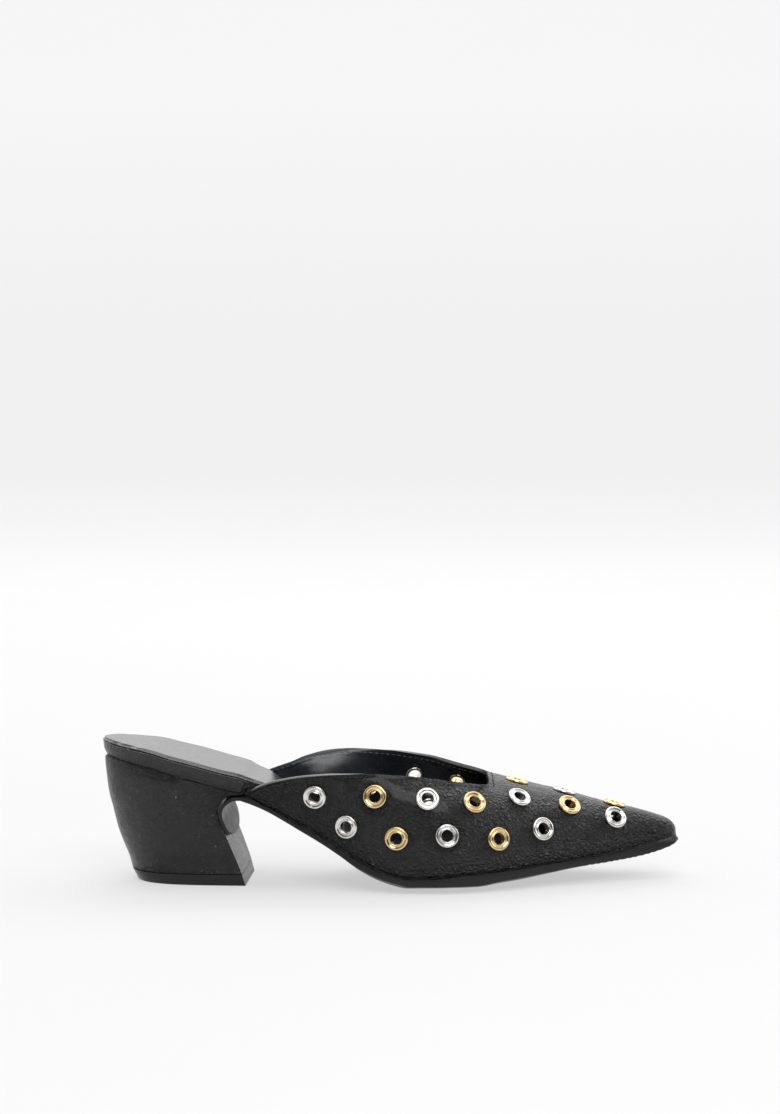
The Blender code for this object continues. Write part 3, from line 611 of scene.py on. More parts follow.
class Nodes:
    """Short hand for one material's node tree."""

    INPUTS = {"color": "Base Color", "rough": "Roughness", "metal": "Metallic", "level": "Specular IOR Level",
              "coat": "Coat Weight", "coat_rough": "Coat Roughness", "normal": "Normal",
              "glow": "Emission Strength", "glow_color": "Emission Color"}

    def __init__(self, name):
        self.material = bpy.data.materials.new(name)
        self.material.use_nodes = True
        self.tree = self.material.node_tree
        self.shader = self.tree.nodes["Principled BSDF"]
        self.place = self.add("ShaderNodeTexCoord").outputs["Object"]

    def add(self, kind, inputs=None, **settings):
        """New node with its settings; each input takes a value or another node's output."""
        node = self.tree.nodes.new(kind)
        for key, value in settings.items():
            setattr(node, key, value)
        for key, value in (inputs or {}).items():
            if isinstance(value, bpy.types.NodeSocket):
                self.link(value, node.inputs[key])
            else:
                node.inputs[key].default_value = value
        return node

    def link(self, source, target):
        self.tree.links.new(source, target)

    def finish(self, **sources):
        """Links outputs to the shader's own inputs."""
        for key, source in sources.items():
            self.link(source, self.shader.inputs[self.INPUTS[key]])

    def noise(self, scale, detail=4.0, rough=0.5, distortion=0.0, place=None):
        inputs = {"Scale": scale, "Detail": detail, "Roughness": rough, "Distortion": distortion,
                  "Vector": place or self.place}
        return self.add("ShaderNodeTexNoise", inputs).outputs["Fac"]

    def stretched(self, x, y, z):
        return self.add("ShaderNodeMapping", {"Scale": (x, y, z), "Vector": self.place}).outputs["Vector"]

    def warped(self, scale, amount):
        """The place, pushed about by soft noise, so that cells and lines wander."""
        soft = self.add("ShaderNodeTexNoise", {"Scale": scale, "Detail": 2.0, "Vector": self.place})
        inputs = {0: soft.outputs["Color"], 1: (amount, amount, amount), 2: self.place}
        return self.add("ShaderNodeVectorMath", inputs, operation="MULTIPLY_ADD").outputs["Vector"]

    def cells(self, scale, place):
        inputs = {"Scale": scale, "Vector": place}
        return self.add("ShaderNodeTexVoronoi", inputs, feature="DISTANCE_TO_EDGE").outputs["Distance"]

    def remap(self, value, low, high, to_low=0.0, to_high=1.0):
        inputs = {"Value": value, "From Min": low, "From Max": high, "To Min": to_low, "To Max": to_high}
        return self.add("ShaderNodeMapRange", inputs).outputs["Result"]

    def math(self, operation, first, second=0.5):
        return self.add("ShaderNodeMath", {0: first, 1: second}, operation=operation).outputs["Value"]

    def bump(self, height, strength, distance, below=None):
        inputs = {"Strength": strength, "Distance": distance, "Height": height}
        if below is not None:
            inputs["Normal"] = below
        return self.add("ShaderNodeBump", inputs).outputs["Normal"]

    def mix_colors(self, fac, low, high):
        node = self.add("ShaderNodeMix", {"A": (*low, 1.0), "B": (*high, 1.0)}, data_type="RGBA")
        self.link(fac, node.inputs["Factor"])
        return node.outputs["Result"]

    def set(self, **values):
        """Plain values of the shader's own inputs."""
        for key, value in values.items():
            wide = key in ("color", "glow_color")
            self.shader.inputs[self.INPUTS[key]].default_value = (*value, 1.0) if wide else value

    def mottled(self, shade, low, high, polish, rough):
        """Colour mixed from the low to the high one by the given mask, and roughness that varies softly from
        place to place.
        """
        self.finish(color=self.mix_colors(shade, low, high), rough=self.remap(polish, 0.3, 0.7, *rough))


def crinkled_leather(name, deep, light, rough=(0.12, 0.23), coat=0.2, stretch=(1.0, 1.0, 1.0),
                     grain=470.0, grain_share=0.75, crease=190.0, crease_depth=0.00150, crease_share=0.70):
    """Soft black leather with a fine pebbled grain crossed by wandering crinkles; the pebble tops along the
    crinkles take a lighter colour as a painted highlight.
    """
    m = Nodes(name)
    spread = m.warped(260.0, 0.0014)
    cells = m.cells(grain, spread)
    wander = m.noise(crease, 5.0, 0.62, 1.3, m.stretched(*stretch))
    ridge = m.math("ABSOLUTE", m.math("SUBTRACT", wander))
    soft = m.bump(m.noise(70.0, 3.0, 0.5), 0.35, 0.0012)
    creased = m.bump(m.remap(ridge, 0.0, 0.13), crease_share, crease_depth, soft)
    pebbled = m.bump(m.remap(cells, 0.0, 0.35), grain_share, 0.00110, creased)
    # Painted highlight: the pebble tops along the crinkles take the light colour, standing in for the lamps'
    # glints.
    painted_glint = m.math("MULTIPLY", m.remap(ridge, 0.02, 0.16), m.remap(cells, 0.05, 0.45))
    m.finish(normal=m.bump(m.noise(1500.0, 3.0, 0.55), 0.22, 0.00022, pebbled))
    m.mottled(painted_glint, deep, light, m.noise(330.0, 4.0, 0.6), rough)
    m.set(level=0.38, coat=coat, coat_rough=0.10)
    return m.material


def smooth_leather(name, deep, light, rough=(0.26, 0.38), grain=1500.0, depth=0.00003, coat=0.1, level=0.5):
    """Fine, nearly smooth leather for linings, sock and turned edges."""
    m = Nodes(name)
    pores = m.remap(m.cells(grain, m.warped(300.0, 0.0009)), 0.0, 0.30)
    soft = m.bump(m.noise(140.0, 4.0, 0.55), 0.22, 0.00022)
    m.finish(normal=m.bump(pores, 0.25, depth, soft))
    m.mottled(m.remap(m.noise(38.0, 3.0), 0.3, 0.7), deep, light, m.noise(420.0, 4.0, 0.6), rough)
    m.set(level=level, coat=coat, coat_rough=0.25)
    return m.material


def rubber(name, deep, light, rough=(0.42, 0.58)):
    """Dull moulded rubber."""
    m = Nodes(name)
    m.finish(normal=m.bump(m.noise(900.0, 3.0, 0.6), 0.25, 0.00004))
    m.mottled(m.remap(m.noise(90.0, 4.0), 0.3, 0.7), deep, light, m.noise(260.0, 4.0, 0.6), rough)
    m.set(level=0.32)
    return m.material


def polished_metal(name, deep, light, rough=(0.10, 0.22)):
    """Plated ring with faint handling marks."""
    m = Nodes(name)
    m.finish(normal=m.bump(m.noise(500.0, 2.0, 0.5), 0.02, 0.00002))
    m.mottled(m.remap(m.noise(420.0, 3.0), 0.35, 0.65), deep, light, m.noise(1300.0, 3.0, 0.6), rough)
    m.set(metal=1.0)
    return m.material


def thread(name, color):
    """Twisted thread, paler here and there."""
    m = Nodes(name)
    paler = tuple(c * 1.5 for c in color)
    m.finish(normal=m.bump(m.noise(4200.0, 2.0), 0.35, 0.00004),
             color=m.mix_colors(m.noise(1800.0, 2.0), color, paler))
    m.set(rough=0.62, level=0.35)
    return m.material


# In each crinkled leather the second colour is the painted highlight on the pebble tops along the crinkles.
LEATHER = crinkled_leather("upper_leather_look", (0.0020, 0.0022, 0.0032), (0.0220, 0.0228, 0.0265))
HEEL_LEATHER = crinkled_leather("heel_leather_look", (0.0040, 0.0041, 0.0050), (0.0330, 0.0332, 0.0360),
                                grain=480.0, crease=230.0, crease_depth=0.00230, rough=(0.13, 0.23),
                                stretch=(0.75, 1.0, 1.15), coat=0.3, crease_share=0.90, grain_share=0.60)
BAND_LEATHER = crinkled_leather("band_leather_look", (0.0070, 0.0072, 0.0084), (0.0230, 0.0232, 0.0255),
                                grain=600.0, crease=200.0, crease_depth=0.00100, rough=(0.17, 0.28),
                                coat=0.3, crease_share=0.45, grain_share=0.35)
LINING = smooth_leather("lining_look", (0.0095, 0.0115, 0.0155), (0.0140, 0.0165, 0.0215), rough=(0.24, 0.36),
                        coat=0.3)
EDGE = smooth_leather("edge_look", (0.0080, 0.0083, 0.0095), (0.0130, 0.0133, 0.0150), rough=(0.24, 0.36))
SOCK_LEATHER = smooth_leather("sock_look", (0.0200, 0.0202, 0.0225), (0.0290, 0.0292, 0.0315),
                              rough=(0.20, 0.30), grain=1300.0, depth=0.00002, coat=0.6, level=0.65)
SOLE_RUBBER = rubber("sole_look", (0.0105, 0.0108, 0.0118), (0.0165, 0.0168, 0.0180), rough=(0.34, 0.50))
LIFT_RUBBER = rubber("lift_look", (0.0085, 0.0087, 0.0098), (0.0130, 0.0132, 0.0146), rough=(0.24, 0.34))
SILVER = polished_metal("silver_look", (0.66, 0.64, 0.62), (0.80, 0.78, 0.76))
GOLD = polished_metal("gold_look", (0.78, 0.56, 0.28), (0.88, 0.68, 0.38))
THREAD = thread("thread_look", (0.020, 0.021, 0.024))
LINING_THREAD = thread("lining_thread_look", (0.10, 0.105, 0.115))


def dress(obj, slot, *materials, stands_for=()):
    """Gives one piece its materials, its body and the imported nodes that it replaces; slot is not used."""
    if materials:
        obj.data.materials.clear()
    for material in materials:
        obj.data.materials.append(material)
    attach(obj, "root")
    if stands_for:
        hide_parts(*stands_for)


# Upper


def side_places():
    """Names, frames and metals of all the rings, in the section frame."""
    found = []
    for side, side_name in ((0, "lateral"), (1, "medial")):
        for name, *places, metal in SIDE_EYELETS:
            along, up = places[2 * side:2 * side + 2]
            found.append((f"eyelet_{side_name}_{name}", upper_frame(run_at(along), side, up), metal))
    for name, along, metal in MIDDLE_EYELETS:
        found.append((f"eyelet_{name}", upper_frame(run_at(along), 0, 2.0), metal))
    return found


RINGS = side_places()
RING_SPOTS = np.array([ring[1][0] for ring in RINGS])


def section_points(run, ups, roofs):
    """Outside of the upper at one section, from the lateral feather to the medial one."""
    lateral = section(run, 0)
    medial = section(run, 1)
    if run < THROAT - 1e-9:
        return through_many(lateral, ups * 3.0), np.zeros((0, 3)), through_many(medial, ups * 3.0)[::-1]
    both = lateral + medial[3::-1]
    count = len(both) - 1
    return (through_many(both, ups * 3.0), through_many(both, 3.0 + roofs),
            through_many(both, count - ups[::-1] * 3.0))


def upper_sheet(rows_wing=104, rows_vamp=84, rows_front=16, rows_up=27, rows_roof=40):
    """The upper's outside as one open sheet with, for each point, its run, side and share up the wall."""
    front = run_at(VAMP_FRONT)
    runs = list(TAIL + (THROAT - TAIL) * np.linspace(0, 1, rows_wing, endpoint=False))
    runs += list(np.linspace(THROAT, front, rows_vamp, endpoint=False))
    runs += list(front + (TIP - front) * np.sin(np.linspace(0, 1, rows_front) * math.pi / 2))
    ups = np.linspace(0, 1, rows_up)
    roofs = np.linspace(0, 2, rows_roof + 1)[1:-1]
    verts, facts, grid = [], [], []
    for run in runs:
        low, top, far = section_points(run, ups, roofs)
        line = list(range(len(verts), len(verts) + len(low) + len(top) + len(far)))
        for part, side, shares in ((low, 0, ups), (top, 2, np.ones(len(top))), (far, 1, ups[::-1])):
            for p, share in zip(part, shares):
                verts.append(p + np.array((0, 0, GAP)))
                facts.append((run, side, share))
        grid.append(line)
    faces = []
    for near, far in zip(grid[:-1], grid[1:]):
        pairs = [(near[:rows_up], far[:rows_up]), (near[-rows_up:], far[-rows_up:])]
        if len(near) == len(far) and len(near) > 2 * rows_up:
            pairs = [(near, far)]
        for low, high in pairs:
            for j in range(len(low) - 1):
                faces.append([low[j], high[j], high[j + 1], low[j + 1]])
    verts = np.array(verts)
    facts = np.array(facts)
    for wall in (slice(0, rows_up), slice(-rows_up, None)):
        rows = np.array([line[wall] for line in grid])
        near = facts[rows[:, 0], 0] - THROAT
        hold = 0.5 * np.exp(-((near / SMOOTH_REACH) ** 2))[1:-1, None] * (1 - facts[rows[1:-1], 2] ** 6)
        for _ in range(SMOOTH_PASSES):
            line = verts[rows]
            verts[rows[1:-1]] += hold[:, :, None] * ((line[:-2] + line[2:]) / 2 - line[1:-1])
    return verts, facts, faces


def wall_height(run, side):
    """Length up the wall, about, from the feather to the topline or shoulder."""
    pts = section(run, side)
    return float(sum(np.linalg.norm(np.subtract(pts[i + 1], pts[i])) for i in range(3)))


def hump(distance, width, power=2):
    """1 on a line, falling smoothly to 0 a little more than a width away."""
    return math.exp(-((distance / width) ** power))


def relief(point, fact, heights):
    """How far the leather stands off its plain form at one point, in metres."""
    run, side, share = float(fact[0]), int(fact[1]), float(fact[2])
    rise = 0.00010 * clumps(point, 0.016, 3.0) + 0.00006 * clumps(point, 0.006, 9.0)
    near = np.min(np.linalg.norm(RING_SPOTS - np.asarray(point), axis=1))
    rise += 0.00010 * hump(near - 0.0085, 0.0022) - 0.00022 * hump(near, 0.0066, 4)
    if side < 2 and run < THROAT + 0.001:
        below = (1 - share) * heights[side](run)
        rise += 0.00022 * hump(below, 0.0014) - 0.00026 * hump(below - STITCH_IN, 0.0007)
    ahead = run - THROAT
    if side == 2 or share > 0.93:
        rise += 0.00020 * hump(ahead, 0.0013) - 0.00030 * hump(ahead - THROAT_IN, 0.0007)
    foot = share * heights[min(side, 1)](run) if side < 2 else 1.0
    rise -= 0.00065 * hump(foot, 0.0016)
    return rise * min((TIP - run) / 0.004, 1.0)


def make_upper():
    verts, facts, faces = upper_sheet()
    knots = np.linspace(TAIL, TIP, 60)
    tables = [np.array([wall_height(r, side) for r in knots]) for side in (0, 1)]
    heights = [lambda run, t=t: float(np.interp(run, knots, t)) for t in tables]
    sheet = new_object("upper_leather", verts, faces)
    normals = np.array([v.normal for v in sheet.data.vertices])
    middle = np.array((0.0, 0.0, 0.02))
    if np.sum(normals * (verts - middle)) < 0:
        sheet.data.flip_normals()
        normals = -normals
    for i, vertex in enumerate(sheet.data.vertices):
        vertex.co += Vector(normals[i]) * relief(verts[i], facts[i], heights)
    modify(sheet, "SOLIDIFY", thickness=UPPER_WALL, offset=-1.0, use_even_offset=False,
           use_quality_normals=True, material_offset=1, material_offset_rim=2)
    round_edges(sheet, 0.00055, 3, 55.0)
    for material in (LEATHER, LINING, EDGE):
        sheet.data.materials.append(material)
    cutter = hole_bars()
    modify(sheet, "BOOLEAN", operation="DIFFERENCE", solver="EXACT", object=cutter)
    settle(sheet, 50.0)
    bpy.data.objects.remove(cutter, do_unlink=True)
    dress(sheet, "upper_leather", stands_for=("upper",))


def stand_on(spot, lift=0.0):
    """Matrix that stands a turned piece on the upper."""
    here, normal, ahead = spot
    z = Vector(normal)
    x = (Vector(ahead) - z * Vector(ahead).dot(z)).normalized()
    turn = Matrix((x, z.cross(x), z)).transposed().to_4x4()
    return Matrix.Translation(Vector(here) + Vector((0, 0, GAP)) + TO_ROW + z * lift) @ turn


def hole_bars():
    bm = bmesh.new()
    for _, spot, _ in RINGS:
        bmesh.ops.create_cone(bm, cap_ends=True, segments=32, radius1=EYELET_HOLE, radius2=EYELET_HOLE,
                              depth=UPPER_WALL * 3.4, matrix=stand_on(spot, -UPPER_WALL / 2))
    mesh = bpy.data.meshes.new("holes")
    bm.to_mesh(mesh)
    bm.free()
    return add_object("holes", mesh)


# Rings


def ring_profile():
    """Domed flange with a groove and a raised lip, barrel, and the rolled flange on the lining side."""
    inner = -UPPER_WALL / MM - 1.0
    return [(r * MM, h * MM) for r, h in (
        (2.62, 0.55), (2.66, 0.98), (2.85, 1.22), (3.12, 1.24), (3.32, 1.06), (3.48, 0.90), (3.70, 0.94),
        (4.05, 1.18), (4.45, 1.27), (4.85, 1.14), (5.12, 0.84), (5.25, 0.46), (5.20, 0.16), (5.00, 0.06),
        (3.05, 0.10), (3.00, -0.40), (3.00, inner + 0.30), (3.90, inner + 0.34), (4.12, inner + 0.10),
        (4.05, inner - 0.25), (3.60, inner - 0.50), (3.00, inner - 0.46), (2.66, inner - 0.10),
        (2.60, inner + 0.5),
    )]


def make_rings(steps=48):
    profile = ring_profile()
    turns = [math.tau * k / steps for k in range(steps)]
    verts = [(r * math.cos(a), r * math.sin(a), h) for a in turns for r, h in profile]
    count = len(profile)
    faces = []
    for k in range(steps):
        here, ahead = k * count, (k + 1) % steps * count
        for j in range(count):
            beside = (j + 1) % count
            faces.append((here + j, ahead + j, ahead + beside, here + beside))
    for name, spot, metal in RINGS:
        ring = new_object(f"ring_{name}", verts, faces, stand_on(spot, RING_SINK))
        dress(ring, METALS[metal], SILVER if metal == "silver" else GOLD, stands_for=(name,))


# Stitches


def along_line(place, knots, points):
    """Point of a line at a distance along it."""
    return np.array([np.interp(place, knots, points[:, k]) for k in range(3)])


def stitches(name, spots, normals, material, pitch=0.0026, length=0.0019, radius=0.00019, sink=0.00002):
    """A row of short rounded threads along a line of surface points."""
    pts = np.asarray(spots)
    run = np.concatenate(([0.0], np.cumsum(np.linalg.norm(np.diff(pts, axis=0), axis=1))))
    verts, faces = [], []
    rings = (-1.0, -0.86, -0.5, 0.0, 0.5, 0.86, 1.0)
    sides = 7
    for centre in np.arange(pitch, run[-1] - pitch / 2, pitch):
        here, front, back = (along_line(centre + part, run, pts) for part in (0.0, length / 2, -length / 2))
        up = along_line(centre, run, np.asarray(normals))
        way = (front - back) / (np.linalg.norm(front - back) + 1e-12)
        up = up - way * np.dot(up, way)
        up = up / np.linalg.norm(up)
        side = np.cross(up, way)
        start = len(verts)
        for t in rings:
            r = radius * math.sqrt(max(1 - t * t, 0.03))
            mid = here + way * (t * length / 2) + up * (radius * 0.35 * (1 - t * t) - sink)
            for k in range(sides):
                a = math.tau * k / sides
                verts.append(mid + side * (r * 1.15 * math.cos(a)) + up * (r * math.sin(a)))
        for i in range(len(rings) - 1):
            for k in range(sides):
                a = start + i * sides + k
                b = start + i * sides + (k + 1) % sides
                faces.append([a, b, b + sides, a + sides])
        faces.append([start + k for k in range(sides)][::-1])
        faces.append([start + (len(rings) - 1) * sides + k for k in range(sides)])
    obj = new_object(name, verts, faces)
    dress(obj, "upper_leather", material)


def wing_line(side, below, lift):
    """Points and normals along a wing, a fixed way below its edge; a negative lift is on the lining."""
    spots, normals = [], []
    for run in np.linspace(TAIL + 0.004, THROAT - 0.0015, 90):
        up = 1.0 - below / wall_height(run, side)
        here, normal, _ = upper_frame(run, side, max(up, 0.05))
        spots.append(here + normal * lift + np.array((0, 0, GAP)))
        normals.append(normal if lift > -UPPER_WALL / 2 else -normal)
    return spots, normals


def throat_line(ahead, lift):
    """Points and normals across the vamp, just ahead of the throat."""
    spots, normals = [], []
    run = THROAT + ahead
    here_section, ahead_section = (section(r, 0) + section(r, 1)[3::-1] for r in (run, run + 0.001))
    for place in np.linspace(2.72, 5.28, 40):
        here, beside = through_many(here_section, [place, place + 0.05])
        front = through_many(ahead_section, [place])[0]
        normal = np.cross(front - here, beside - here)
        normal = normal / np.linalg.norm(normal)
        if normal[2] < 0:
            normal = -normal
        spots.append(here + normal * lift + np.array((0, 0, GAP)))
        normals.append(normal)
    return spots, normals


def make_stitches():
    inside = -UPPER_WALL - 0.00010
    for side, name in ((0, "lateral"), (1, "medial")):
        stitches(f"stitches_{name}_edge", *wing_line(side, STITCH_IN, -0.00016), THREAD)
        stitches(f"stitches_{name}_lining", *wing_line(side, STITCH_IN, inside), LINING_THREAD)
    stitches("stitches_throat", *throat_line(THROAT_IN, -0.00014), THREAD)


# Sole, heel, footbed


def plate_rows(places):
    """Sections of the cambered plate, from the toe to the arch, with a fine tread under the toe."""
    along = column(SOLE, "along")
    edge = column(SOLE, "edge") * HEEL_HEIGHT
    drop = column(SOLE, "drop") * HEEL_HEIGHT
    runs = list(TIP - (TIP - run_at(TOE_ROUND)) * (1 - np.cos(np.linspace(0, 1, 16) * math.pi / 2)))
    runs += list(np.linspace(run_at(TOE_ROUND), run_at(BREAST), 270)[1:])
    rows = []
    for run in runs:
        low = inset_edges(run, -SOLE_LIP)
        share = min(max(low[0][0] / LENGTH + 0.5, along[0]), 1.0)
        z = float(steady(along, edge, share))
        slope = float(steady(along, edge, share + 0.004)) - float(steady(along, edge, share - 0.004))
        slope /= 0.008 * LENGTH
        turn = clamp((share - BREAST) / 0.012)
        slope = slope * turn - 0.25 * (1 - turn)
        up = np.array((-slope, 0.0, 1.0)) / math.hypot(slope, 1.0)
        wall = min(max((low[0][2] - z) * up[2] - 2 * GAP, SOLE_WALL_WAIST), SOLE_WALL_BALL * 1.3)
        low[0][2] = z
        low[1][2] = z
        fall = float(steady(along, drop, share))
        levels = []
        for level in (0.0, 0.5, 1.0):
            line = across(low[0], low[1], places) + up * (wall * level)
            sunk = np.minimum(1.0, (1.0 - np.abs(places)) / 0.55)
            line[:, 2] -= fall * sunk * (2 - sunk)
            if level == 0.0 and share > TREAD_START:
                line[:, 2] += TREAD_DEPTH * (math.sin(math.tau * run / TREAD_PITCH) > 0)
            levels.append(line)
        rows.append(upright(levels))
    return rows


def arch_rows(places):
    """Sections of the sole's turn round the arch and of the rounded flap on the breast."""
    rows = []
    x = (column(ARCH, "along") - 0.5) * LENGTH
    z = heel_level(column(ARCH, "height"))
    knots = distances(np.diff(x), np.diff(z))
    flap_start = knots[FLAP_ROW]
    line = np.column_stack((x, z))
    for at in np.concatenate((np.linspace(0, flap_start, 46), np.linspace(flap_start, knots[-1], 26)[1:])):
        here = through(line, at_knot(at, knots))
        step = knots[-1] * 0.01
        ahead = through(line, at_knot(min(at + step, knots[-1]), knots))
        way = ahead - through(line, at_knot(max(at - step, 0), knots))
        way = way / np.linalg.norm(way)
        up = np.array((way[1], 0.0, -way[0]))
        sides = heel_edges(here[0], here[1])
        middle = (sides[0] + sides[1]) / 2
        flap = clamp((at - flap_start) / (knots[-1] - flap_start))
        width = math.sqrt(max(1.0 - (flap * 0.985) ** 2, 0.0)) if flap > 0 else 1.0
        half = (sides[1] - sides[0]) / 2 * width
        levels = []
        for level in (0.0, 0.5, 1.0):
            y = middle + half * places
            outer = np.column_stack((here[0] + HEEL_SLANT * (y - sides[0]), y, np.full(len(y), here[1])))
            levels.append(outer + up * (SOLE_WALL_WAIST * level))
        rows.append(upright(levels))
    return rows


def make_outsole():
    places = crowded(31)
    sole = block("sole_plate", plate_rows(places) + arch_rows(places))
    soften(sole, 0.00045, 2, 50.0)
    dress(sole, "outsole_rubber", SOLE_RUBBER, stands_for=("outsole",))


def outline_at(place):
    """Top lift and seat outline at a place from the breast, 0, to the back, 1."""
    knots = np.linspace(0, 1, len(LIFT) - 1)
    along, lateral, medial, seat = row_at(LIFT, knots, place)
    top = inset_edges(run_at(seat), FOOTBED_LEAN)
    return (along - 0.5) * LENGTH, lateral * BALL_WIDTH, medial * BALL_WIDTH, top[0], top[1]


def heel_grid(levels=54, outline=46, places=25):
    """Sections of the heel block: rows run from the breast to the back and columns from side to side."""
    count = len(HEEL) - 1
    knots = np.arange(count, dtype=float)
    spread = crowded(places)
    rows = [outline_at(p) for p in np.linspace(0, 1, outline)]
    first, last = rows[0], rows[-1]
    grid = []
    for q in np.linspace(0, count - 1, levels):
        back, back_z, breast, breast_z, growth = row_at(HEEL, knots, q)
        back = (back - 0.5) * LENGTH
        breast = (breast - 0.5) * LENGTH
        back_z = float(heel_level(back_z))
        breast_z = float(heel_level(breast_z))
        up = q / (count - 1)
        level = []
        for x, y0, y1, top0, top1 in rows:
            foot_share = (x - last[0]) / (first[0] - last[0])
            top_share = (top0[0] - last[3][0]) / (first[3][0] - last[3][0])
            along = grown(foot_share, top_share, growth)
            here = back + (breast - back) * along
            line = first[3][2] * top_share + last[3][2] * (1 - top_share)
            height = back_z + (breast_z - back_z) * along + (top0[2] - line) * up**3
            edges = grown(y0, top0[1], growth), grown(y1, top1[1], growth)
            level.append(slanted(here, *edges, height, spread))
        grid.append(level)
    return np.array(grid)


def make_heel():
    grid = heel_grid()
    heel = block("heel_cover", np.transpose(grid, (1, 2, 0, 3)))
    for vertex in heel.data.vertices:
        vertex.co += vertex.normal * 0.00013 * clumps(vertex.co, 0.013, 5.0)
    soften(heel, 0.0007, 3, 50.0)
    dress(heel, "heel_leather", HEEL_LEATHER, stands_for=("heel_block",))


def make_lift():
    """Slab of rubber under the heel, a touch smaller at the floor."""
    rows = [outline_at(p) for p in np.linspace(0, 1, 46)]
    spread = crowded(17)
    first, last = rows[0], rows[-1]
    back = (column(HEEL, "back")[0] - 0.5) * LENGTH
    breast = (column(HEEL, "breast")[0] - 0.5) * LENGTH
    growth = column(HEEL, "growth")[0]
    low, top = [], []
    for x, y0, y1, top0, top1 in rows:
        share = (x - last[0]) / (first[0] - last[0])
        edges = grown(y0, top0[1], growth), grown(y1, top1[1], growth)
        top.append(slanted(back + (breast - back) * share, *edges, LIFT_HEIGHT - GAP, spread))
        low.append(slanted(x, y0, y1, 0.0, spread))
    lift = block("lift_slab", np.transpose(np.array((low, top)), (1, 2, 0, 3)))
    soften(lift, 0.0005, 3, 40.0)
    dress(lift, "top_lift_rubber", LIFT_RUBBER, stands_for=("top_lift",))


def footbed_runs():
    back = LAST_RUN[2] * 0.9
    runs = list(back * (1 - np.cos(np.linspace(0.12, 1, 18) * math.pi / 2)))
    runs += list(np.linspace(back, run_at(SEAT_END), 44)[1:])
    runs += list(np.linspace(run_at(SEAT_END), run_at(WINGS_FULL), 20)[1:])
    runs += list(np.linspace(run_at(WINGS_FULL), run_at(TOE_ROUND), 90)[1:])
    return runs


def footbed_section(run):
    """Edges of the footbed's underside and top, its fall in the middle, and its share inside the upper."""
    inside = UPPER_WALL + 4 * GAP
    along = column(SOLE, "along")
    drop = column(SOLE, "drop") * HEEL_HEIGHT
    share = last_edges(run)[0][0] / LENGTH + 0.5
    tuck = ease(clamp((share - 0.2380) / 0.022))
    seat = 1 - clamp((share - SEAT_END) / 0.30)
    thick = FOOTBED_BALL + (FOOTBED_SEAT - FOOTBED_BALL) * seat**1.5
    low = inset_edges(run, FOOTBED_LEAN * (1 - tuck) + inside * tuck)
    top = inset_edges(run, inside * tuck)
    fall = float(steady(along, drop, max(share, along[0]))) * 0.25 * tuck
    sunk = clamp((share - 0.2520) / 0.030)
    slope = math.hypot(1.0, 0.55 * sunk if share < 0.48 else 0.0)
    for p, q in zip(top, low):
        q[2] += FOOTBED_PLAY * sunk
        p[2] = q[2] + thick * slope
    return low, top, fall, tuck


def make_footbed():
    spread = crowded(25)
    rows = []
    for run in footbed_runs():
        low, top, fall, tuck = footbed_section(run)
        middle = [(a + b) / 2 for a, b in zip(low, top)]
        for m, t in zip(middle, top):
            m[:2] = m[:2] * 0.35 + t[:2] * 0.65
        rows.append(upright([across(*pair, spread, fall) for pair in (low, middle, top)]))
    bed = block("footbed_wrap", rows)
    soften(bed, 0.0008, 3, 45.0)
    dress(bed, "footbed_leather", BAND_LEATHER, stands_for=("footbed",))


def make_sock():
    """Padded sock with a pressed line just inside its edge."""
    spread = crowded(49)
    rows = []
    runs = footbed_runs()[3:-2]
    for run in runs:
        _, top, fall, tuck = footbed_section(run)
        middle = (top[0] + top[1]) / 2
        width = np.linalg.norm(top[1] - top[0])
        keep = 1 - 2 * SOCK_INSET * (1 - 0.7 * tuck) / width
        pair = [middle + (p - middle) * keep for p in top]
        for p in pair:
            p[2] = top[0][2] + GAP
        under = across(pair[0], pair[1], spread, fall)
        over = under.copy()
        from_side = (1 - np.abs(spread)) * width * keep / 2
        from_back = (run - runs[0]) + SOCK_ROLL
        inward = np.minimum(from_side, from_back)
        step = np.clip((inward - PRESSED_IN) / 0.0003, 0.0, 1.0)
        over[:, 2] += SOCK_WALL * (0.45 * np.clip(inward / SOCK_ROLL, 0.4, 1.0) + 0.75 * step)
        rows.append(upright((under, over)))
    sock = block("sock_pad", rows)
    soften(sock, 0.0003, 2, 50.0)
    dress(sock, "sock_leather", SOCK_LEATHER, stands_for=("sock",))


# Room, light and camera


def make_room():
    """Pale floor that curves up into a far backdrop."""
    profile = [(-3.0, 0.0), (2.2, 0.0)]
    profile += [(2.2 + 1.2 * math.sin(a), 1.2 - 1.2 * math.cos(a)) for a in np.linspace(0.1, math.pi / 2, 14)]
    profile += [(3.4, 3.0)]
    verts = [(x, y, z - 0.00002) for x in (-3.4, 3.4) for y, z in profile]
    count = len(profile)
    faces = [[j, j + 1, count + j + 1, count + j] for j in range(count - 1)]
    room = new_object("studio_sweep", verts, faces)
    paper = Nodes("paper_look")
    near, far, high = ROOM_GLOW
    split = paper.add("ShaderNodeSeparateXYZ", {"Vector": paper.place})
    along_floor = paper.remap(split.outputs["Y"], 0.0, 2.3, near, far)
    up_wall = paper.remap(split.outputs["Z"], 0.0, 0.5, 0.0, high - far)
    paper.finish(color=paper.mix_colors(paper.noise(6.0, 2.0), (0.295, 0.295, 0.295), (0.305, 0.305, 0.305)),
                 glow=paper.math("ADD", along_floor, up_wall))
    paper.set(rough=0.9, level=0.1, glow_color=(1.0, 1.0, 1.0))
    room.data.materials.append(paper.material)


def lamp(name, place, aim, size, power):
    """Soft rectangular light, itself out of the picture."""
    data = bpy.data.lights.new(name, "AREA")
    data.shape = "RECTANGLE"
    data.size, data.size_y = size
    data.energy = power
    obj = add_object(name, data)
    obj.location = place
    obj.rotation_euler = (Vector(aim) - Vector(place)).to_track_quat("-Z", "Y").to_euler()
    obj.visible_camera = False


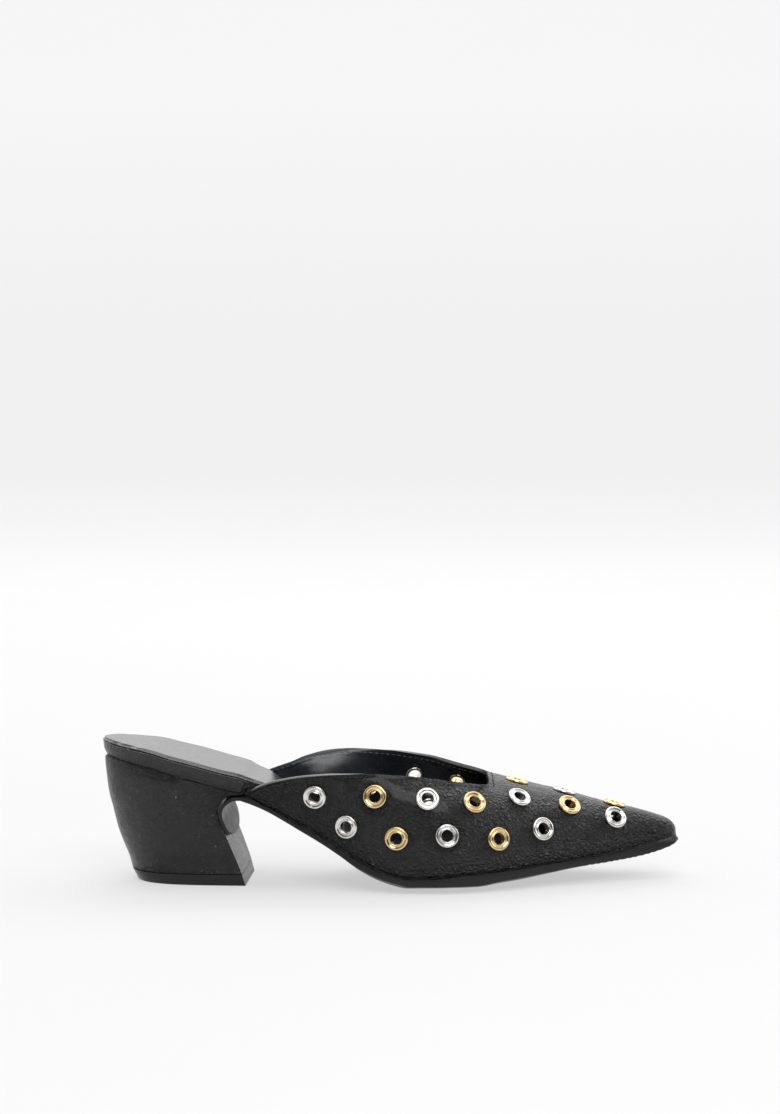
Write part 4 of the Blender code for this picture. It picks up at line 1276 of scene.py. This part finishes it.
def make_light():
    """Bright above and behind, dimmer from the camera's side, so dark leather keeps its depth."""
    world = bpy.data.worlds.new("studio")
    bpy.context.scene.world = world
    world.use_nodes = True
    nodes = world.node_tree.nodes
    back = nodes["Background"]
    place = nodes.new("ShaderNodeTexCoord")
    split = nodes.new("ShaderNodeSeparateXYZ")
    fade = nodes.new("ShaderNodeMapRange")
    for name, value in {"From Min": -0.85, "From Max": 0.1, "To Min": 0.07, "To Max": 0.95}.items():
        fade.inputs[name].default_value = value
    world.node_tree.links.new(place.outputs["Generated"], split.inputs["Vector"])
    world.node_tree.links.new(split.outputs["Y"], fade.inputs["Value"])
    world.node_tree.links.new(fade.outputs["Result"], back.inputs["Strength"])
    back.inputs["Color"].default_value = (1.0, 1.0, 1.0, 1.0)
    lamp("back_soft", (0.1, 1.3, 1.25), (0.0, 0.0, 0.02), (2.2, 1.0), 13.0)
    lamp("top_soft", (0.0, -0.1, 1.5), (0.0, 0.0, 0.0), (1.2, 0.9), 5.0)
    lamp("key", (0.20, -1.0, 0.95), (0.0, 0.0, 0.03), (0.90, 0.55), 7.0)
    lamp("toe_soft", (1.3, 0.35, 0.55), (0.05, 0.0, 0.03), (0.8, 0.6), 3.0)


def make_camera():
    """Camera at the photograph's place, a little above the shoe, which stands below the picture's middle."""
    rise = math.radians(CAMERA_RISE)
    aim = rise - math.atan(SHOE_BELOW_PIXELS / FOCAL_PIXELS)
    data = bpy.data.cameras.new("camera")
    data.lens = FOCAL_PIXELS * SENSOR / PHOTO_PIXELS
    data.sensor_width = SENSOR
    camera = add_object("camera", data)
    back_off = CAMERA_AWAY * Vector((0, -math.cos(rise), math.sin(rise)))
    camera.location = Vector(LOOK_AT) + TO_ROW + back_off
    camera.rotation_euler = (math.pi / 2 - aim, 0.0, 0.0)
    bpy.context.scene.camera = camera


make_upper()
make_rings()
make_stitches()
make_outsole()
make_heel()
make_lift()
make_footbed()
make_sock()
make_room()
make_light()
make_camera()
bpy.context.scene.view_settings.view_transform = "Standard"
